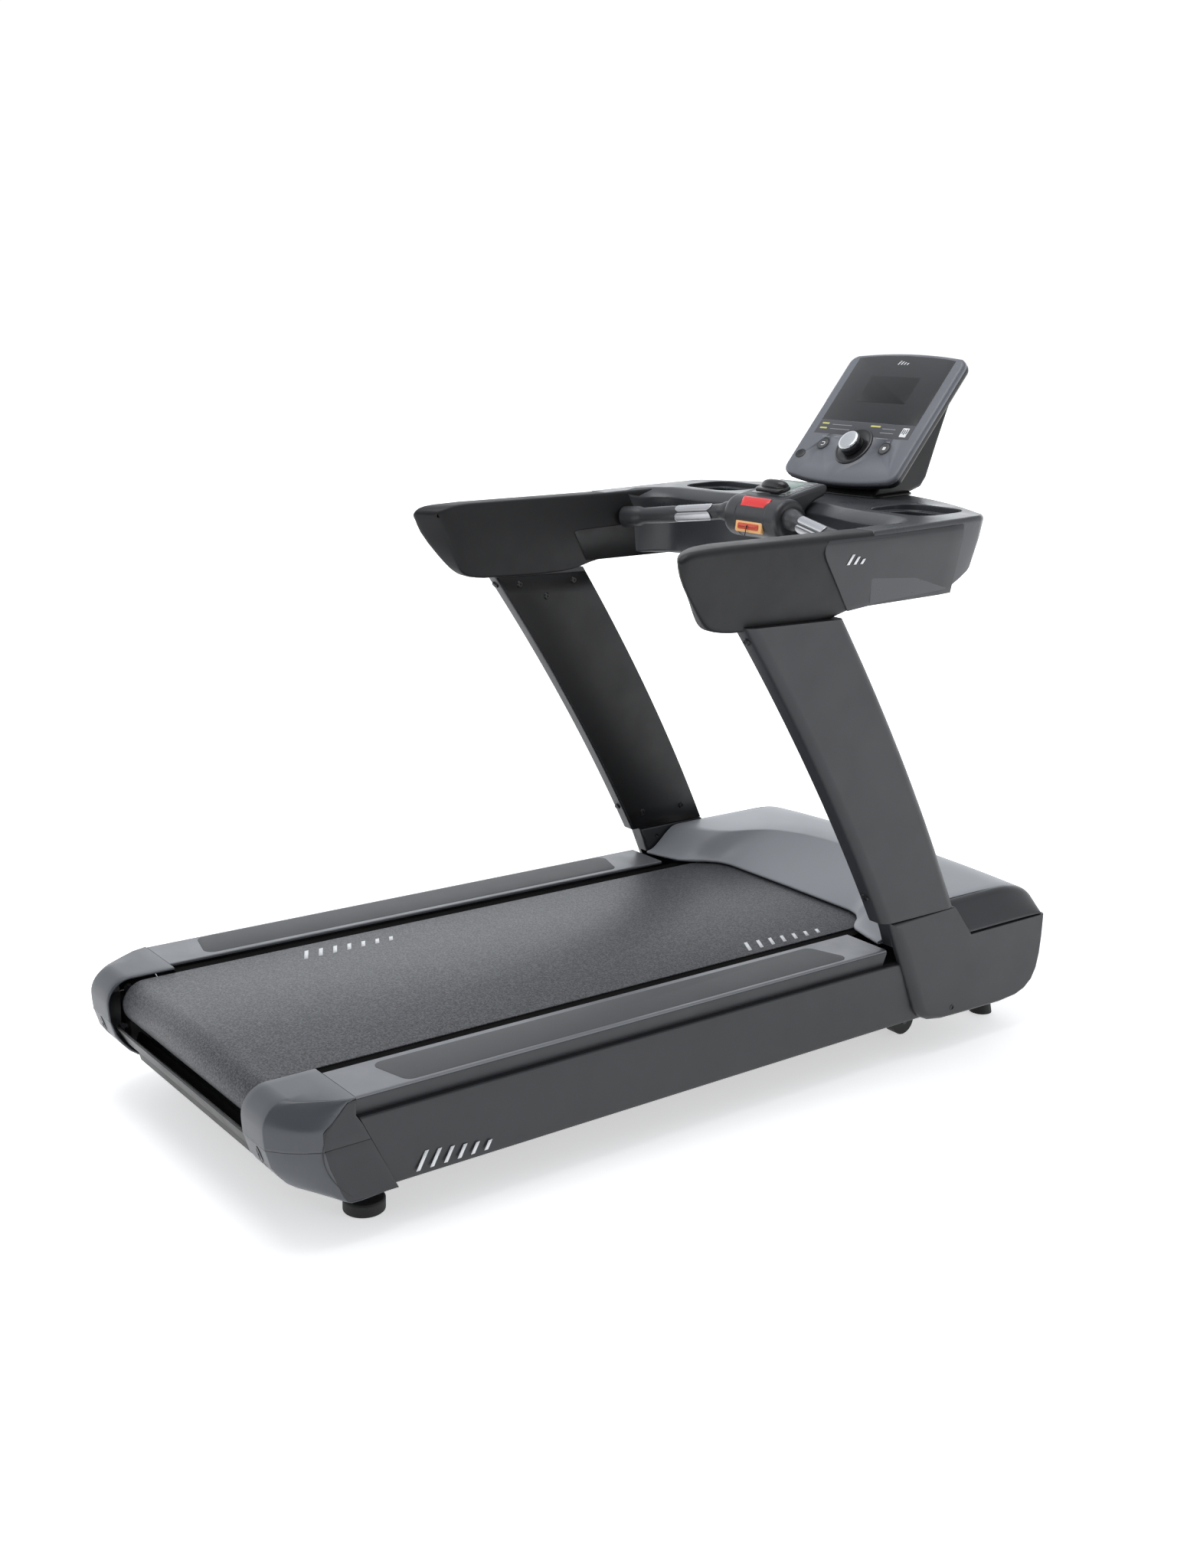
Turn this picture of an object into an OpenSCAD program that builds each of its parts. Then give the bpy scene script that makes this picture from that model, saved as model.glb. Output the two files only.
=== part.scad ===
// Motor-driven running machine: a belt bed on a steel frame, two leaning posts,
// long side arms joined by a cup-holder tray, a grip bar with a control pod and a tilted console.
// Millimetres. Origin: centre of the footprint, on the floor. +X user's right, +Y towards the motor.

/* [Bed] */
// Length of the machine from the rear caps to the front of the hood
overall_l = 1900; // [1700:10:2300]
// Width of a foot rail
rail_w = 118; // [100:1:125]
// Height of the foot rails above the floor
deck_h = 268; // [255:1:325]
// Width of the running belt
belt_w = 560; // [465:1:600]
// Gap between the belt edge and the foot rail
belt_gap = 36; // [20:1:40]
// Thickness of the running belt
belt_t = 2.6; // [1.8:0.1:4]
// Thickness of the deck board
deck_t = 25; // [18:1:26]
// Radius of both rollers
roller_r = 42; // [35:1:45]
// Height of the panels' lower edge above the floor
skirt_z = 82; // [70:1:95]
// Length of the moulded rear caps
cap_l = 140; // [125:1:170]

/* [Frame] */
// Width of a side tube
tube_w = 50; // [40:1:55]
// Height of a side tube
tube_h = 92; // [70:1:96]
// Diameter of a rear levelling foot
foot_d = 76; // [50:1:92]
// Diameter of a levelling stud
stud_d = 14; // [10:1:18]
// Radius of a lift wheel
wheel_r = 32; // [24:1:34]

/* [Posts and arms] */
// Height of the underside of the arms
arm_z = 975; // [880:1:1050]
// Height of the arm from its underside to its top at the grip
arm_h = 168; // [140:2:190]
// Distance from the posts' inner face to the rails' outer edge
post_inset = 36; // [32:1:42]
// Thickness of a post across the machine
post_t = 48; // [40:1:52]
// Width of a post along the machine at its top
post_w = 250; // [208:1:260]
// Thickness of an arm across the machine
arm_t = 60; // [52:1:70]

/* [Console] */
// Width of the console
console_w = 350; // [320:2:420]
// Height of the console along its face
console_h = 363; // [340:1:400]
// Tilt of the console's face from the floor
console_tilt = 50.8; // [40:0.2:70]
// Thickness of the console housing
console_t = 30; // [24:1:40]
// Width of the glass
glass_w = 292; // [260:2:310]
// Height of the glass
glass_h = 184; // [150:2:190]
// Diameter of the dial
dial_d = 54; // [40:1:66]
// Diameter of the two round keys
key_d = 28; // [20:1:32]

/* [Grip bar] */
// Diameter of the grip bar
bar_d = 36; // [30:0.5:43.5]
// Width of the pod's hub
hub_w = 196; // [180:2:220]

/* [Fits] */
// Gap between fixed shells
seam = 0.4; // [0.3:0.1:1]
// Gap round moving parts
clear = 0.5; // [0.3:0.1:1]
// Radial running fit of a shaft in its bearing
fit = 0.05; // [0.02:0.01:0.1]

/* [Hidden] */
$fn = 48;

graphite = [0.29, 0.30, 0.32];
charcoal = [0.20, 0.20, 0.21];
silver = [0.72, 0.74, 0.77];

rail_in = belt_w / 2 + belt_gap;
rail_out = rail_in + rail_w;
rails_w = 2 * rail_out;
rail_t = 6;
deck_top = deck_h - rail_t - belt_t - clear;
belt_top = deck_top + belt_t + 0.3;
roller_z = belt_top - belt_t - 0.3 - roller_r;
rear_roller_d = 72;
drive_roller_d = 1560;
axle_r = 10;
tube_x = belt_w / 2 + 32;
tube_top = roller_z - 5;
tube_z = tube_top - tube_h;
ridge_z = deck_h - 39;
boot_out = rail_out + 16;
boot_d = 1392;
boot_top = deck_h + 62;
arm_top = arm_z + arm_h;
post_in = rail_out - post_inset;
post_out = post_in + post_t;
core_in = post_in + 10;
tray_z = arm_top + 22;

// A length measured forward from the rear end
function at(d) = d - overall_l / 2;
// Front shells keep their distance to the front end
front_shift = overall_l - 1900;
function fr(d) = at(d + front_shift);
function arc(c, r, a0, a1, n = 8) = [
  for (i = [0:n]) [c[0] + r * cos(a0 + (a1 - a0) * i / n), c[1] + r * sin(a0 + (a1 - a0) * i / n)]
];
// The posts lean back in a shallow bow; t is the distance below the arms
function lean(t) = 0.734 * t - 0.00016 * t * t;
function lean_slope(t) = 0.734 - 0.00032 * t;
function post_rear(z) = fr(968) + lean(arm_z - z);
function post_front(z) = post_rear(z) + post_w - 0.046 * (arm_z - z);

// Extrudes a (y, z) outline across the machine
module across(x0, x1) {
  rotate([90, 0, 90]) translate([0, 0, x0]) linear_extrude(x1 - x0) children();
}
module both_sides() {
  children();
  mirror([1, 0, 0]) children();
}
module rod_x(x0, x1, y, z, r) {
  translate([x0, y, z]) rotate([0, 90, 0]) cylinder(h = x1 - x0, r = r);
}
module block(x0, x1, y0, y1, z0, z1) {
  translate([x0, y0, z0]) cube([x1 - x0, y1 - y0, z1 - z0]);
}

// ---------------------------------------------------------------- frame and deck
foot_x = tube_x + tube_w / 2;
foot_y = at(208);
foot_h = 26;
tube_rear = at(54);
lift_y = fr(1800);
lift_z = tube_z - 16;
lift_wheel_y = fr(1583);
lift_half = tube_x - 12;
lever_z = lift_z + 38;
lever_x = 40;
lift_rod_r = 8;
ledge_w = 26;
front_foot_y = fr(1838);
plate_z = tube_z + 40;
pivot_r = 9;
post_foot_y0 = fr(1440);
post_foot_y1 = fr(1575);

module frame() {
  color(charcoal) difference() {
    union() {
      both_sides() {
        block(tube_x, tube_x + tube_w, tube_rear, fr(1862), tube_z, tube_top);
        // ledge under the deck, outriggers for the side panels, foot of each post, lift brackets
        block(tube_x - ledge_w, tube_x, at(cap_l + 30), fr(1440), tube_top - 6, tube_top);
        block(tube_x + tube_w, rail_out - 12, at(300), at(340), tube_z, tube_z + 40);
        block(tube_x + tube_w, rail_out - 12, at(860), at(900), tube_z, tube_z + 40);
        block(tube_x + tube_w, core_in, post_foot_y0, post_foot_y1, tube_z, tube_top);
        block(lift_half + 2, tube_x, lift_y - 26, lift_y + 26, lift_z - 22, tube_top);
      }
      for (y = [at(230), at(700), at(1170), fr(1390)])
        block(-tube_x, tube_x, y, y + 40, tube_z, tube_z + 34);
      // motor plate and its two supports
      block(-tube_x, tube_x, fr(1640), fr(1780), plate_z - 6, plate_z);
      block(-tube_x, tube_x, fr(1640), fr(1665), tube_z, plate_z - 6);
      block(-tube_x, tube_x, fr(1836), fr(1862), tube_z, plate_z);
    }
    both_sides() {
      translate([foot_x, foot_y, tube_z - 1]) cylinder(h = tube_h + 2, d = stud_d + 2 * clear);
      translate([foot_x, front_foot_y, tube_z - 1]) cylinder(h = 31, d = stud_d);
    }
    // bores for the roller axles and the lift pivot, and the way of the lift rod
    rod_x(-rails_w, rails_w, at(rear_roller_d), roller_z, axle_r);
    rod_x(-rails_w, rails_w, fr(drive_roller_d), roller_z, axle_r);
    rod_x(-tube_x - 1, tube_x + 1, lift_y, lift_z, pivot_r + fit);
    translate([lever_x, fr(1630), lever_z]) rotate([-90, 0, 0]) cylinder(h = 60, r = lift_rod_r + 2);
  }
}
module deck() {
  color([0.16, 0.15, 0.15])
    block(-rail_in + 6, rail_in - 6, at(cap_l + 2), fr(drive_roller_d - pulley_r - 8),
      deck_top - deck_t, deck_top);
}
module deck_cushions() {
  n = 4;
  y0 = at(190);
  y1 = fr(1420);
  color([0.08, 0.08, 0.08]) both_sides() for (i = [0:n - 1])
    translate([tube_x - ledge_w / 2, y0 + (y1 - y0) * i / (n - 1), tube_top])
      cylinder(h = deck_top - deck_t - tube_top, r = 11);
}
module belt_loop(grow) {
  r = roller_r + grow;
  hull() {
    translate([at(rear_roller_d), roller_z]) circle(r = r);
    translate([fr(drive_roller_d), roller_z]) circle(r = r);
  }
}
module running_belt() {
  color([0.30, 0.31, 0.32]) across(-belt_w / 2, belt_w / 2) difference() {
    belt_loop(0.3 + belt_t);
    belt_loop(0.3);
  }
}

// ---------------------------------------------------------------- rollers and drive
roller_half = belt_w / 2 + 3;
pulley_in = roller_half + 1;
pulley_out = tube_x - 4;
pulley_r = roller_r + 10;
motor_y = fr(1722);
motor_z = deck_h - 34;
motor_r = 54;
motor_pulley_r = 21;
v_belt_t = 3;

module roller(y, half, z) {
  difference() {
    union() {
      rod_x(-half, half, y, z, roller_r - 3);
      rod_x(-half + 8, half - 8, y, z, roller_r);
    }
    rod_x(-half - 1, half + 1, y, z, axle_r + fit);
  }
}
module drive_roller() {
  color("silver") {
    roller(fr(drive_roller_d), roller_half, roller_z);
    difference() {
      rod_x(roller_half, pulley_out, fr(drive_roller_d), roller_z, pulley_r);
      rod_x(roller_half - 1, pulley_out + 1, fr(drive_roller_d), roller_z, axle_r + fit);
    }
  }
}
module drive_axle() {
  color("dimgray") rod_x(-tube_x - tube_w, tube_x + tube_w, fr(drive_roller_d), roller_z, axle_r);
}
module rear_roller() {
  color("silver") roller(at(rear_roller_d), roller_half, roller_z);
}
module rear_axle() {
  color("dimgray") rod_x(-tube_x - tube_w, tube_x + tube_w, at(rear_roller_d), roller_z, axle_r);
}
module tension_bolts() {
  y0 = tube_rear - 6;
  color("gray") both_sides() {
    translate([foot_x, y0, tension_z]) rotate([-90, 0, 0]) cylinder(h = tube_rear - y0, r = 5);
    translate([foot_x, y0 - 8, tension_z]) rotate([-90, 0, 0]) cylinder(h = 8, r = 9, $fn = 6);
  }
}
module motor() {
  color([0.13, 0.13, 0.14]) difference() {
    union() {
      rod_x(-110, 130, motor_y, motor_z, motor_r);
      both_sides() block(60, 84, motor_y - 44, motor_y + 44, plate_z, motor_z - 30);
    }
    rod_x(-121, 131, motor_y, motor_z, 9 + fit);
  }
}
module motor_rotor() {
  color("silver") {
    rod_x(-160, pulley_out, motor_y, motor_z, 9);
    rod_x(pulley_in, pulley_out, motor_y, motor_z, motor_pulley_r);
    rod_x(-150, -116, motor_y, motor_z, 48);
  }
}
module drive_belt_loop(grow) {
  hull() {
    translate([fr(drive_roller_d), roller_z]) circle(r = pulley_r + grow);
    translate([motor_y, motor_z]) circle(r = motor_pulley_r + grow);
  }
}
module drive_belt() {
  color([0.05, 0.05, 0.05]) across(pulley_in + 3, pulley_out - 3) difference() {
    drive_belt_loop(0.3 + v_belt_t);
    drive_belt_loop(0.3);
  }
}
module controller() {
  color([0.16, 0.16, 0.17]) block(22 - tube_x, 122 - tube_x, fr(1650), fr(1775), plate_z, plate_z + 70);
}
module power_inlet() {
  color([0.1, 0.1, 0.1]) difference() {
    block(52 - tube_x, 112 - tube_x, fr(1862), fr(1884), plate_z - 28, plate_z + 12);
    block(60 - tube_x, 104 - tube_x, fr(1870), fr(1900), plate_z - 20, plate_z + 4);
  }
}

// ---------------------------------------------------------------- lift and feet
module lift_frame() {
  color([0.17, 0.17, 0.18]) {
    difference() {
      union() {
        both_sides() across(lift_half - 12, lift_half) hull() {
          translate([lift_y, lift_z]) circle(r = 20);
          translate([lift_wheel_y, wheel_r + 2]) circle(r = 16);
        }
        rod_x(-lift_half + 12, lift_half - 12, lift_y, lift_z, 14);
      }
      rod_x(-lift_half - 1, lift_half + 1, lift_wheel_y, wheel_r, 7);
    }
    rod_x(-lift_half - 36, lift_half + 36, lift_wheel_y, wheel_r, 7);
    both_sides() rod_x(lift_half, tube_x, lift_y, lift_z, pivot_r);
    // lever pushed by the lift rod
    across(lever_x - 6, lever_x + 6) difference() {
      hull() {
        translate([lift_y, lift_z]) circle(r = 13);
        translate([lift_y, lever_z]) circle(r = 9);
      }
      translate([lift_y, lift_z]) circle(r = 13.9);
    }
  }
}
module lift_wheels() {
  color([0.06, 0.06, 0.06]) both_sides() difference() {
    rod_x(lift_half + 3, lift_half + 31, lift_wheel_y, wheel_r, wheel_r);
    rod_x(lift_half, lift_half + 40, lift_wheel_y, wheel_r, 7 + fit);
  }
}
module lift_motor() {
  color([0.12, 0.12, 0.13]) difference() {
    union() {
      block(lever_x - 50, lever_x + 50, fr(1430), fr(1490), lever_z - 50, lever_z + 10);
      translate([lever_x, fr(1490), lever_z]) rotate([-90, 0, 0]) cylinder(h = 110, r = 16);
    }
    translate([lever_x, fr(1560), lever_z]) rotate([-90, 0, 0]) cylinder(h = 60, r = lift_rod_r + clear);
  }
}
module lift_rod() {
  color("silver") translate([lever_x, fr(1590), lever_z]) rotate([-90, 0, 0])
    cylinder(h = lift_y - 11 - fr(1590), r = lift_rod_r);
}
module front_feet() {
  color([0.07, 0.07, 0.07]) both_sides() {
    translate([foot_x, front_foot_y, 0]) cylinder(h = 22, r1 = 26, r2 = 22);
    translate([foot_x, front_foot_y, 22]) cylinder(h = tube_z - 22 + 28, d = stud_d);
  }
}
module rear_foot() {
  color([0.08, 0.08, 0.08]) rotate_extrude() polygon(concat(
    [[0, 0], [foot_d / 2 - 3, 0]],
    arc([foot_d / 2 - 3, 3], 3, -90, 0, 3),
    [[foot_d / 2, foot_h - 4]],
    arc([foot_d / 2 - 5, foot_h - 5], 5, 0, 90, 4),
    [[14, foot_h], [12, foot_h + 8], [0, foot_h + 8]]
  ));
  color("silver") translate([0, 0, foot_h + 8]) cylinder(h = tube_z + 40 - foot_h, d = stud_d);
  color("silver") translate([0, 0, tube_z - 12 - clear]) cylinder(h = 12, r = 12, $fn = 6);
}
module rear_foot_right() {
  translate([foot_x, foot_y, 0]) rear_foot();
}
module rear_foot_left() {
  translate([-foot_x, foot_y, 0]) rear_foot();
}

// ---------------------------------------------------------------- rails, pads, panels
pad_t = 1.6;
module pad_outline(grow) {
  r = 18;
  x0 = rail_in + 14;
  x1 = rail_out - 9;
  y0 = at(228);
  y1 = fr(1300);
  offset(delta = grow) polygon(concat(
    arc([x0 + r, y0 + 6 + r], r, 180, 270, 6),
    arc([x1 - r, y0 + 16 + r], r, 280, 360, 6),
    arc([x1 - r, y1 - r], r, 0, 90, 6),
    arc([x0 + r, y1 - 22 - r], r, 100, 180, 6)
  ));
}
module rail() {
  color([0.58, 0.59, 0.61]) difference() {
    translate([0, at(cap_l) + seam, 0]) rotate([90, 0, 0]) mirror([0, 0, 1])
      linear_extrude(fr(boot_d + 10) - at(cap_l) - seam) polygon([
        [rail_in, deck_h - rail_t], [rail_in, deck_h - 2], [rail_in + 2, deck_h],
        [rail_out - 2, deck_h], [rail_out, deck_h - 2], [rail_out - 6, ridge_z + 1],
        [rail_out - 12, ridge_z + 1], [rail_out - 7, deck_h - rail_t]
      ]);
    translate([0, 0, deck_h - pad_t]) linear_extrude(pad_t + 1) pad_outline(0.2);
  }
}
module rail_right() { rail(); }
module rail_left() { mirror([1, 0, 0]) rail(); }
module grip_pads() {
  color([0.42, 0.43, 0.44]) both_sides()
    translate([0, 0, deck_h - pad_t]) linear_extrude(pad_t + 0.4) pad_outline(0);
}
// Side panel with a raised upper ridge, a taper below and a slanted rear end
panel_rear_top = 146;
panel_rear_low = 220;
module side_panel() {
  y1 = fr(1545);
  color(graphite) intersection() {
    translate([0, at(cap_l), 0]) rotate([90, 0, 0]) mirror([0, 0, 1])
      linear_extrude(y1 - at(cap_l)) polygon([
        [rail_out - 12, ridge_z], [rail_out, ridge_z], [rail_out + 1.5, ridge_z - 3],
        [rail_out - 5, skirt_z + 4], [rail_out - 9, skirt_z], [rail_out - 34, skirt_z],
        [rail_out - 34, skirt_z + 4], [rail_out - 10, skirt_z + 4], [rail_out - 3.5, ridge_z - 5]
      ]);
    across(0, rails_w) polygon([
      [at(panel_rear_top), ridge_z + 1], [y1, ridge_z + 1], [y1, skirt_z - 1],
      [at(panel_rear_low), skirt_z - 1]
    ]);
  }
}
module side_panel_right() { side_panel(); }
module side_panel_left() { mirror([1, 0, 0]) side_panel(); }

// ---------------------------------------------------------------- rear caps
cap_in = belt_w / 2 + 10;
cap_nose_r = 48;
split_z = deck_h - 82;
// Side outline of a cap: rounded nose, sloped lower edge meeting the panel's slant
function cap_outline(w) = concat(
  [[at(cap_l), deck_h - w]],
  arc([at(cap_nose_r), deck_h - cap_nose_r], cap_nose_r - w, 90, 180, 7),
  [[at(2 + w), split_z + 4], [at(14 + w), skirt_z + 68], [at(51 + w), skirt_z + 25 + w],
   [at(124), skirt_z - 6 + w], [at(panel_rear_low - 6), skirt_z + w - 4], [at(cap_l), ridge_z - 4]]
);
cap_corner = 60;
tension_z = tube_z + 30;
module cap_shell(z0, z1) {
  wall = 5;
  difference() {
    intersection() {
      across(cap_in, rail_out + 2) polygon(cap_outline(0));
      block(0, rails_w, at(-10), at(cap_l) + 90, z0, z1);
      // the outer rear corner is rounded in plan
      linear_extrude(deck_h + 1) polygon(concat(
        [[cap_in - 1, at(-1)]],
        arc([rail_out + 2 - cap_corner, at(cap_corner)], cap_corner, -90, 0, 8),
        [[rail_out + 2, at(cap_l) + 90], [cap_in - 1, at(cap_l) + 90]]
      ));
    }
    intersection() {
      across(cap_in + wall, rail_out + 2 - wall) polygon(cap_outline(wall));
      linear_extrude(deck_h + 1) polygon(concat(
        [[cap_in - 1, at(-1)]],
        arc([rail_out + 2 - cap_corner, at(cap_corner)], cap_corner - wall, -90, 0, 8),
        [[rail_out + 2 - wall, at(cap_l) + 90], [cap_in - 1, at(cap_l) + 90]]
      ));
    }
    // openings for the side tube, the roller axle and the levelling foot
    block(tube_x - 1, tube_x + tube_w + 1, tube_rear - 1, at(cap_l) + 100, tube_z - 1, tube_top + 1);
    rod_x(cap_in - 1, cap_in + wall + 1, at(rear_roller_d), roller_z, axle_r + 1);
    translate([foot_x, foot_y, -1]) cylinder(h = tube_z + 30, r = foot_d / 2 + 2);
  }
}
module cap() {
  color([0.50, 0.52, 0.54]) cap_shell(split_z, deck_h + 1);
}
module cap_base() {
  color(graphite) difference() {
    cap_shell(0, split_z - seam);
    // slot for the belt-tension key
    across(foot_x - 6, foot_x + 6) translate([at(-5), tension_z - 17]) square([45, 34]);
  }
}
module cap_right() { cap(); }
module cap_left() { mirror([1, 0, 0]) cap(); }
module cap_base_right() { cap_base(); }
module cap_base_left() { mirror([1, 0, 0]) cap_base(); }
module rear_panel() {
  color([0.10, 0.10, 0.11]) across(-cap_in + 1, cap_in - 1) polygon([
    [at(52), skirt_z + 46], [at(60), skirt_z + 68], [at(66), skirt_z + 68], [at(66), skirt_z + 18],
    [at(120), skirt_z], [at(120), skirt_z - 4], [at(62), skirt_z + 10]
  ]);
}

// ---------------------------------------------------------------- boots, hood
hood_seam_z = deck_h - 8;
// (y, z) outline of a boot
function boot_outline(w) = concat(
  [[fr(boot_d + 5) + w, boot_top - seam], [fr(boot_d + 31) + w, boot_top - 60],
   [fr(boot_d + 61) + w, boot_top - 126], [fr(boot_d + 91) + w, skirt_z + 55]],
  arc([fr(boot_d + 150), skirt_z + 55], 59 - w, 200, 262, 5),
  [[fr(1765), skirt_z - 10 + w]],
  arc([fr(1820), skirt_z + 68 + w / 2], 78 - w, 285, 345, 4),
  [[fr(1900) - w, hood_seam_z - 55], [fr(1900) - w, hood_seam_z], [fr(1650), hood_seam_z],
   [fr(1602), boot_top - 8], [fr(1590), boot_top - seam]]
);
module boot() {
  wall = 5;
  color(graphite) {
    difference() {
      union() {
        across(rail_out + 2, boot_out) polygon(boot_outline(0));
        // first step of the slope down to the side panel
        across(rail_out + 2, boot_out - 7) intersection() {
          translate([-17, 0]) polygon(boot_outline(0));
          translate([fr(1380), skirt_z - 8]) square([120, boot_top - skirt_z]);
        }
      }
      across(rail_out + 1, boot_out - wall) polygon(boot_outline(wall));
      rod_x(rail_out, boot_out + 1, fr(1603), skirt_z + 17, 5);
      block(rail_out, post_out + seam, post_foot_y0 - 60, post_foot_y1 + 80, boot_top - 30, boot_top);
    }
    difference() {
      intersection() {
        across(post_in - 2, rail_out + 2) polygon(boot_outline(0));
        block(0, rails_w, fr(boot_d - 10), fr(1640), deck_h + 1, boot_top - 2);
      }
      across(post_in + 3, rails_w) polygon(boot_outline(wall));
      block(post_in + 3, rails_w, post_foot_y0 - 60, post_foot_y1 + 80, boot_top - 30, boot_top + 1);
    }
  }
}
module boot_right() { boot(); }
module boot_left() { mirror([1, 0, 0]) boot(); }

hood_top = deck_h + 74;
function hood_outline(w) = concat(
  [[fr(1596) + w, hood_seam_z - 1], [fr(1596) + w, hood_top - 8 - w], [fr(1700), hood_top - w]],
  arc([fr(1810), hood_top - 42], 42 - w, 90, 50, 3),
  arc([fr(1852), hood_seam_z + 2], 48 - w, 45, 0, 4),
  [[fr(1900) - w, hood_seam_z - 1]]
);
module hood() {
  wall = 4;
  half = post_in - 4;
  color([0.66, 0.69, 0.72]) {
    difference() {
      across(-boot_out, boot_out) polygon(hood_outline(0));
      across(-boot_out + wall, boot_out - wall) polygon(hood_outline(wall));
      block(-boot_out - 1, boot_out + 1, fr(1500), fr(1910), 0, hood_seam_z + seam);
      // the post and the boot's rear part stand here
      both_sides() across(half + 1, boot_out + 1) polygon([
        [fr(1500), 0], [fr(1500), hood_top + 50], [fr(1606), hood_top + 50], [fr(1606), boot_top - 8],
        [fr(1652), hood_seam_z], [fr(1652), 0]
      ]);
      block(-belt_w / 2 + 40, belt_w / 2 - 40, fr(1590), fr(1690), hood_seam_z, hood_top + 1);
      // the drive belt passes under the cheeks
      block(-half, half, fr(1590), fr(1606), 0, hood_top - 42);
    }
    // cheeks between the scoop and the posts
    both_sides() across(belt_w / 2 - 40, half) polygon([
      [fr(1430), deck_h + 2], [fr(1596), hood_top - 8], [fr(1600), hood_top - 12],
      [fr(1600), hood_top - 20], [fr(1444), deck_h + 2]
    ]);
  }
}
scoop_half = belt_w / 2 - 41;
module hood_scoop() {
  color([0.55, 0.57, 0.60]) {
    across(-scoop_half, scoop_half) polygon([
      [fr(1526), deck_h + 1], [fr(1690), hood_top - 2], [fr(1690), hood_top - 8], [fr(1536), deck_h + 1]
    ]);
    // tabs that close the corner between the belt and each post
    both_sides() translate([0, 0, deck_h + 0.3]) linear_extrude(1.6) polygon([
      [scoop_half - 8, fr(1522)], [belt_w / 2 + 12, fr(1450)], [post_in - 10, fr(1423)],
      [post_in - 10, fr(1448)], [belt_w / 2 + 14, fr(1470)]
    ]);
  }
}
module front_panel() {
  color(graphite) across(-rail_out, rail_out) polygon([
    [fr(1894), hood_seam_z - 55], [fr(1894), hood_seam_z],
    [fr(1899), hood_seam_z], [fr(1899), hood_seam_z - 55],
    [fr(1893), skirt_z + 48], [fr(1868), skirt_z + 10], [fr(1850), skirt_z + 2], [fr(1850), skirt_z + 6],
    [fr(1864), skirt_z + 14], [fr(1888), skirt_z + 50]
  ]);
}

// ---------------------------------------------------------------- posts
post_cover_t = 4;
post_low = tube_z + 8;
post_top = arm_z + 74;

// (y, z) outline of the leaning part, bowed like the real post
function post_outline(z0, z1, inset, n = 6) = concat(
  [for (i = [0:n]) let (z = z0 + (z1 - z0) * i / n) [post_rear(z) + inset, z]],
  [for (i = [0:n]) let (z = z1 + (z0 - z1) * i / n) [post_front(z) - inset, z]]
);
core_out = post_out - 8;
core_low_out = rail_out - 14;
core_inset = 38;
module post() {
  color([0.32, 0.33, 0.34]) {
    // outer skin in three stepped thicknesses that round its long edges
    across(post_in + post_cover_t + seam, post_out - 15)
      polygon(post_outline(boot_top, arm_z - seam, 0));
    across(post_out - 15, post_out - 6) polygon(post_outline(boot_top, arm_z - seam, 9));
    across(post_out - 6, post_out) polygon(post_outline(boot_top, arm_z - seam, 20));
    // steel core runs down to the frame and up into the arm
    across(core_in, core_low_out) polygon(post_outline(post_low, boot_top, core_inset));
    across(core_in, core_out) polygon(post_outline(arm_z - seam, post_top, core_inset));
  }
}
module post_right() { post(); }
module post_left() { mirror([1, 0, 0]) post(); }
module post_cover() {
  color([0.17, 0.17, 0.18])
    across(post_in, post_in + post_cover_t) polygon(post_outline(boot_top, arm_z - seam, 1));
}
module post_cover_right() { post_cover(); }
module post_cover_left() { mirror([1, 0, 0]) post_cover(); }
module screw_head(r) {
  difference() {
    cylinder(h = 3, r1 = r, r2 = r * 0.7);
    translate([0, 0, 1.4]) cylinder(h = 3, r = r * 0.4, $fn = 6);
  }
}
module post_bolts() {
  low = boot_top + 42;
  high = arm_z - 18;
  color([0.12, 0.12, 0.12]) both_sides() {
    for (z = [low, high]) for (y = [post_rear(z) + 50, post_front(z) - 50])
      translate([post_in, y, z]) rotate([0, -90, 0]) screw_head(8);
    translate([post_in, (post_rear(high) + post_front(high)) / 2, high - 32])
      rotate([0, -90, 0]) screw_head(8);
    for (z = [low + 18, high])
      translate([post_out - 24, post_rear(z) - 1.2, z]) rotate([90 + atan(lean_slope(arm_z - z)), 0, 0])
        screw_head(7);
  }
}

// ---------------------------------------------------------------- arms and tray
arm_out = post_in + arm_t;
arm_tip = fr(782);
arm_front = fr(1590);
arm_seam_y = fr(1262);
// (y, z) outline of a whole arm
function arm_outline(w) = concat(
  [[arm_tip + w, arm_top - 34], [arm_tip + 3 + w, arm_top - 56], [arm_tip + 54 + w, arm_z + 46 ]],
  arc([arm_tip + 120, arm_z + 44], 44 - w, 215, 270, 4),
  [[fr(1180), arm_z + w], [fr(1226), arm_z + 20 + w], [fr(1490), arm_z + 34 + w]],
  arc([fr(1498), arm_z + 62], 28 - w, 280, 335, 3),
  [[arm_front - w, tray_z - 8 - w], [arm_front - 8 - w, tray_z - w], [arm_seam_y, arm_top + 8 - w],
   [arm_tip + 40, arm_top - w]],
  arc([arm_tip + 34, arm_top - 30], 30 - w, 95, 165, 4)
);
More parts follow.
